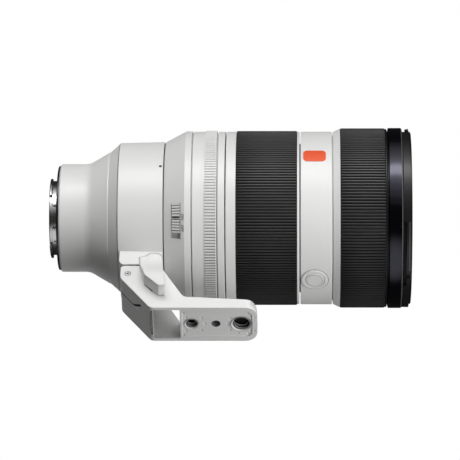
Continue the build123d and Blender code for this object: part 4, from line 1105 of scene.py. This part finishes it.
def side_details(base):
    """A chrome strip whose reflection paints the highlight of the window's rear edge, a dark quad that paints the
    shadow under the lever, and rings of painted shade round the screws.
    """
    level = base / MM
    # A chrome strip whose reflection paints the highlight of the window's rear edge
    quad("window_edge", [Vector((x, y, level + 0.02)) for x, y in WINDOW_EDGE], "chrome", "foot")
    # A dark quad that paints the shadow under the lever
    quad("lever_painted_shadow", [Vector((x, LEVER_SHADOW_SIDE, z)) for x, z in LEVER_SHADOW], "painted_shade_black", "foot_lever")
    points, faces = [], []
    # Rings in the dark grey that paint the shade round the foot's screws
    for side in (-SCREW_RING_SIDE, SCREW_RING_SIDE):
        annulus(points, faces, lambda across, up: (
            Vector((SCREW_RING_X + across, side, level + SCREW_RING_HEIGHT + up)) * MM), *SCREW_RING_RADII, 32)
    add_mesh("foot_screw_rings", points, faces, "painted_shade_grey", "foot", smooth=False)


class LENS_OT_foot(bpy.types.Operator):
    """Cuts the dimples and the field in the foot's underside, darkens its hollows and adds its small details"""
    bl_idname = "lens.foot"
    bl_label = "Tripod foot"

    def execute(self, context):
        base = low("foot").z
        cut_underside(base)
        darken_hollows(base)
        rear_slot()
        side_details(base)
        return {"FINISHED"}


# Soft boxes: direction from the lens, distance, size, and share of the key light's power
SOFT_BOXES = (
    ("key_box", (-0.12, -1.0, 0.27), 1.2, (1.4, 0.8), 1.0),
    ("low_box", (0.8, -0.3, -0.75), 0.55, (0.5, 0.5), 0.19),
    ("top_box", (0.1, 0.1, 1.0), 1.3, (1.0, 1.0), 0.2),
    ("far_box", (-0.3, 1.0, 0.25), 1.3, (0.8, 0.8), 0.45),
)

# The strip that glossy surfaces mirror is made of nested boxes, so that it has soft edges: the direction and
# distance of them all, and the width, height and brightness of each
SHINE_DIRECTION, SHINE_DISTANCE = (0.1, -1.0, 0.34), 1.2
SHINE_STEPS = ((1.6, 0.30, 5.0), (1.7, 0.54, 1.6), (1.8, 0.85, 1.0), (1.9, 1.25, 0.6), (2.0, 1.80, 0.35),
               (2.1, 2.50, 0.14))

# The pale card that metal mirrors: its direction, the angles where it fades out and where it is full, and
# the brightness round it and on it
CARD_DIRECTION = (0, 0.19, -0.98)
CARD_FADE, CARD_FULL = math.radians(38), math.radians(6)
CARD_LEVELS = (0.014, 0.68)

# The floor: its size, and the gap under the foot
FLOOR_SIZE, FLOOR_GAP = 6.0, 0.3 * MM


def view_axes(below):
    """The line of sight and the picture's up direction, for a camera that looks up by an angle."""
    sight = Vector((0, math.cos(below), math.sin(below)))
    up = Vector((0, -math.sin(below), math.cos(below)))
    return sight, up


def place_camera(settings):
    """Aims the camera off the axis, so that the axis lies in its row without any shift."""
    sight, up = view_axes(settings.below)
    centre = settings.picture_width / 2
    right_share = (settings.axis_px_x - centre) / settings.focal_px
    up_share = (centre - settings.axis_px_y) / settings.focal_px
    forward = (sight - AXIS_X * right_share - up * up_share).normalized()
    right = forward.cross(up).normalized()
    upright = right.cross(forward)
    data = bpy.data.cameras.new("photo_camera")
    data.sensor_width = 36.0
    data.lens = data.sensor_width * settings.focal_px / settings.picture_width
    data.clip_end = 100.0
    camera = bpy.data.objects.new("photo_camera", data)
    camera.matrix_world = Matrix.Translation(AXIS_X * settings.square_on_x - sight * settings.distance) @ Matrix(
        (right, upright, -forward)).transposed().to_4x4()
    bpy.context.scene.collection.objects.link(camera)
    bpy.context.scene.camera = camera


def soft_box(name, direction, distance, size, power, aim, mirrored=False):
    """A soft light. Either glossy surfaces mirror it, or it only lights matt ones."""
    data = bpy.data.lights.new(name, "AREA")
    data.shape = "RECTANGLE"
    data.size, data.size_y = size
    data.energy = power
    lamp = bpy.data.objects.new(name, data)
    lamp.location = aim + Vector(direction).normalized() * distance
    lamp.rotation_euler = (aim - lamp.location).to_track_quat("-Z", "Y").to_euler()
    lamp.visible_camera = False
    lamp.visible_diffuse = not mirrored
    lamp.visible_glossy = mirrored
    bpy.context.scene.collection.objects.link(lamp)


def place_lights(looks):
    aim = Vector(((CAD_BOX[0][0] + CAD_BOX[1][0]) / 2, 0, 0))
    for name, direction, distance, size, share in SOFT_BOXES:
        soft_box(name, direction, distance, size, looks.key_power * share, aim)
    for index, (width, height, radiance) in enumerate(SHINE_STEPS):
        power = math.pi * width * height * radiance * looks.shine
        soft_box(f"shine_strip_{index}", SHINE_DIRECTION, SHINE_DISTANCE, (width, height), power, aim,
                 mirrored=True)


def white_world(looks):
    """Even fill light, and a pale card below that shows in the metal. The camera sees plain white."""
    world = bpy.data.worlds.new("studio_white")
    world.use_nodes = True
    tree = world.node_tree
    background = tree.nodes["Background"]
    background.inputs["Color"].default_value = (1, 1, 1, 1)
    path = tree.nodes.new("ShaderNodeLightPath")
    seen = math_node(tree, "MAXIMUM", path.outputs["Is Camera Ray"], path.outputs["Is Transmission Ray"])
    glossy = path.outputs["Is Glossy Ray"]
    facing = tree.nodes.new("ShaderNodeVectorMath")
    facing.operation = "DOT_PRODUCT"
    tree.links.new(tree.nodes.new("ShaderNodeTexCoord").outputs["Generated"], facing.inputs[0])
    facing.inputs[1].default_value = Vector(CARD_DIRECTION).normalized()
    card = tree.nodes.new("ShaderNodeMapRange")
    card.interpolation_type = "SMOOTHSTEP"
    card.inputs["From Min"].default_value = math.cos(CARD_FADE)
    card.inputs["From Max"].default_value = math.cos(CARD_FULL)
    card.inputs["To Min"].default_value, card.inputs["To Max"].default_value = CARD_LEVELS
    tree.links.new(facing.outputs["Value"], card.inputs["Value"])
    mirrored = math_node(tree, "MULTIPLY", glossy, card.outputs["Result"])
    spread = math_node(tree, "SUBTRACT", 1.0, math_node(tree, "MAXIMUM", seen, glossy))
    dimmed = math_node(tree, "MULTIPLY", spread, looks.fill_level)
    lit = math_node(tree, "ADD", dimmed, mirrored)
    tree.links.new(math_node(tree, "ADD", seen, lit), background.inputs["Strength"])
    bpy.context.scene.world = world


def lay_floor():
    """A pale floor under the foot, which is open when it is looked at from below."""
    bpy.ops.mesh.primitive_plane_add(size=FLOOR_SIZE, location=(0.1, 0, low("foot").z - FLOOR_GAP))
    floor = bpy.context.object
    floor.name = "floor"
    floor.visible_diffuse = False
    floor.visible_glossy = False
    floor.visible_transmission = False
    floor.visible_shadow = False
    floor_finish, tree, shader = new_material("floor_white")
    grain = place_group(tree, "fine_grain", Scale=60.0, Drift_Scale=2.0)
    drifting(tree, shader, grain, (0.93, 0.93, 0.93), 0.004, 0.8, 0.02)
    open_side = tree.nodes.new("ShaderNodeBsdfTransparent")
    geometry = tree.nodes.new("ShaderNodeNewGeometry")
    mix = tree.nodes.new("ShaderNodeMixShader")
    output = tree.nodes["Material Output"]
    tree.links.new(geometry.outputs["Backfacing"], mix.inputs["Fac"])
    tree.links.new(shader.outputs[0], mix.inputs[1])
    tree.links.new(open_side.outputs[0], mix.inputs[2])
    tree.links.new(mix.outputs[0], output.inputs["Surface"])
    floor.data.materials.append(floor_finish)


class LENS_OT_stage(bpy.types.Operator):
    """Sets the camera, the soft lights, the white world and the floor"""
    bl_idname = "lens.stage"
    bl_label = "Stage"

    def execute(self, context):
        place_camera(context.scene.lens_camera)
        place_lights(context.scene.lens_looks)
        white_world(context.scene.lens_looks)
        lay_floor()
        context.scene.view_settings.view_transform = "Standard"
        return {"FINISHED"}


class LENS_PT_panel(bpy.types.Panel):
    """Lists the steps that dress the lens"""
    bl_idname = "LENS_PT_panel"
    bl_label = "Telephoto zoom lens"
    bl_space_type = "VIEW_3D"
    bl_region_type = "UI"
    bl_category = "Lens"

    def draw(self, context):
        for group in (context.scene.lens_looks, context.scene.lens_camera):
            for field in group.__annotations__:
                self.layout.prop(group, field)
        for step in STEPS:
            self.layout.operator(step.bl_idname)


STEPS = (LENS_OT_finishes, LENS_OT_grips, LENS_OT_threads, LENS_OT_marks, LENS_OT_mount, LENS_OT_front,
         LENS_OT_foot, LENS_OT_stage)
CLASSES = (LensLooks, LensCamera, *STEPS, LENS_PT_panel)


def register():
    for item in CLASSES:
        bpy.utils.register_class(item)
    bpy.types.Scene.lens_looks = bpy.props.PointerProperty(type=LensLooks)
    bpy.types.Scene.lens_camera = bpy.props.PointerProperty(type=LensCamera)


def unregister():
    del bpy.types.Scene.lens_camera
    del bpy.types.Scene.lens_looks
    for item in reversed(CLASSES):
        bpy.utils.unregister_class(item)


def main():
    register()
    bpy.ops.lens.finishes()
    bpy.ops.lens.grips()
    bpy.ops.lens.threads()
    bpy.ops.lens.marks()
    bpy.ops.lens.mount()
    bpy.ops.lens.front()
    bpy.ops.lens.foot()
    bpy.ops.lens.stage()


if __name__ == "__main__":
    main()
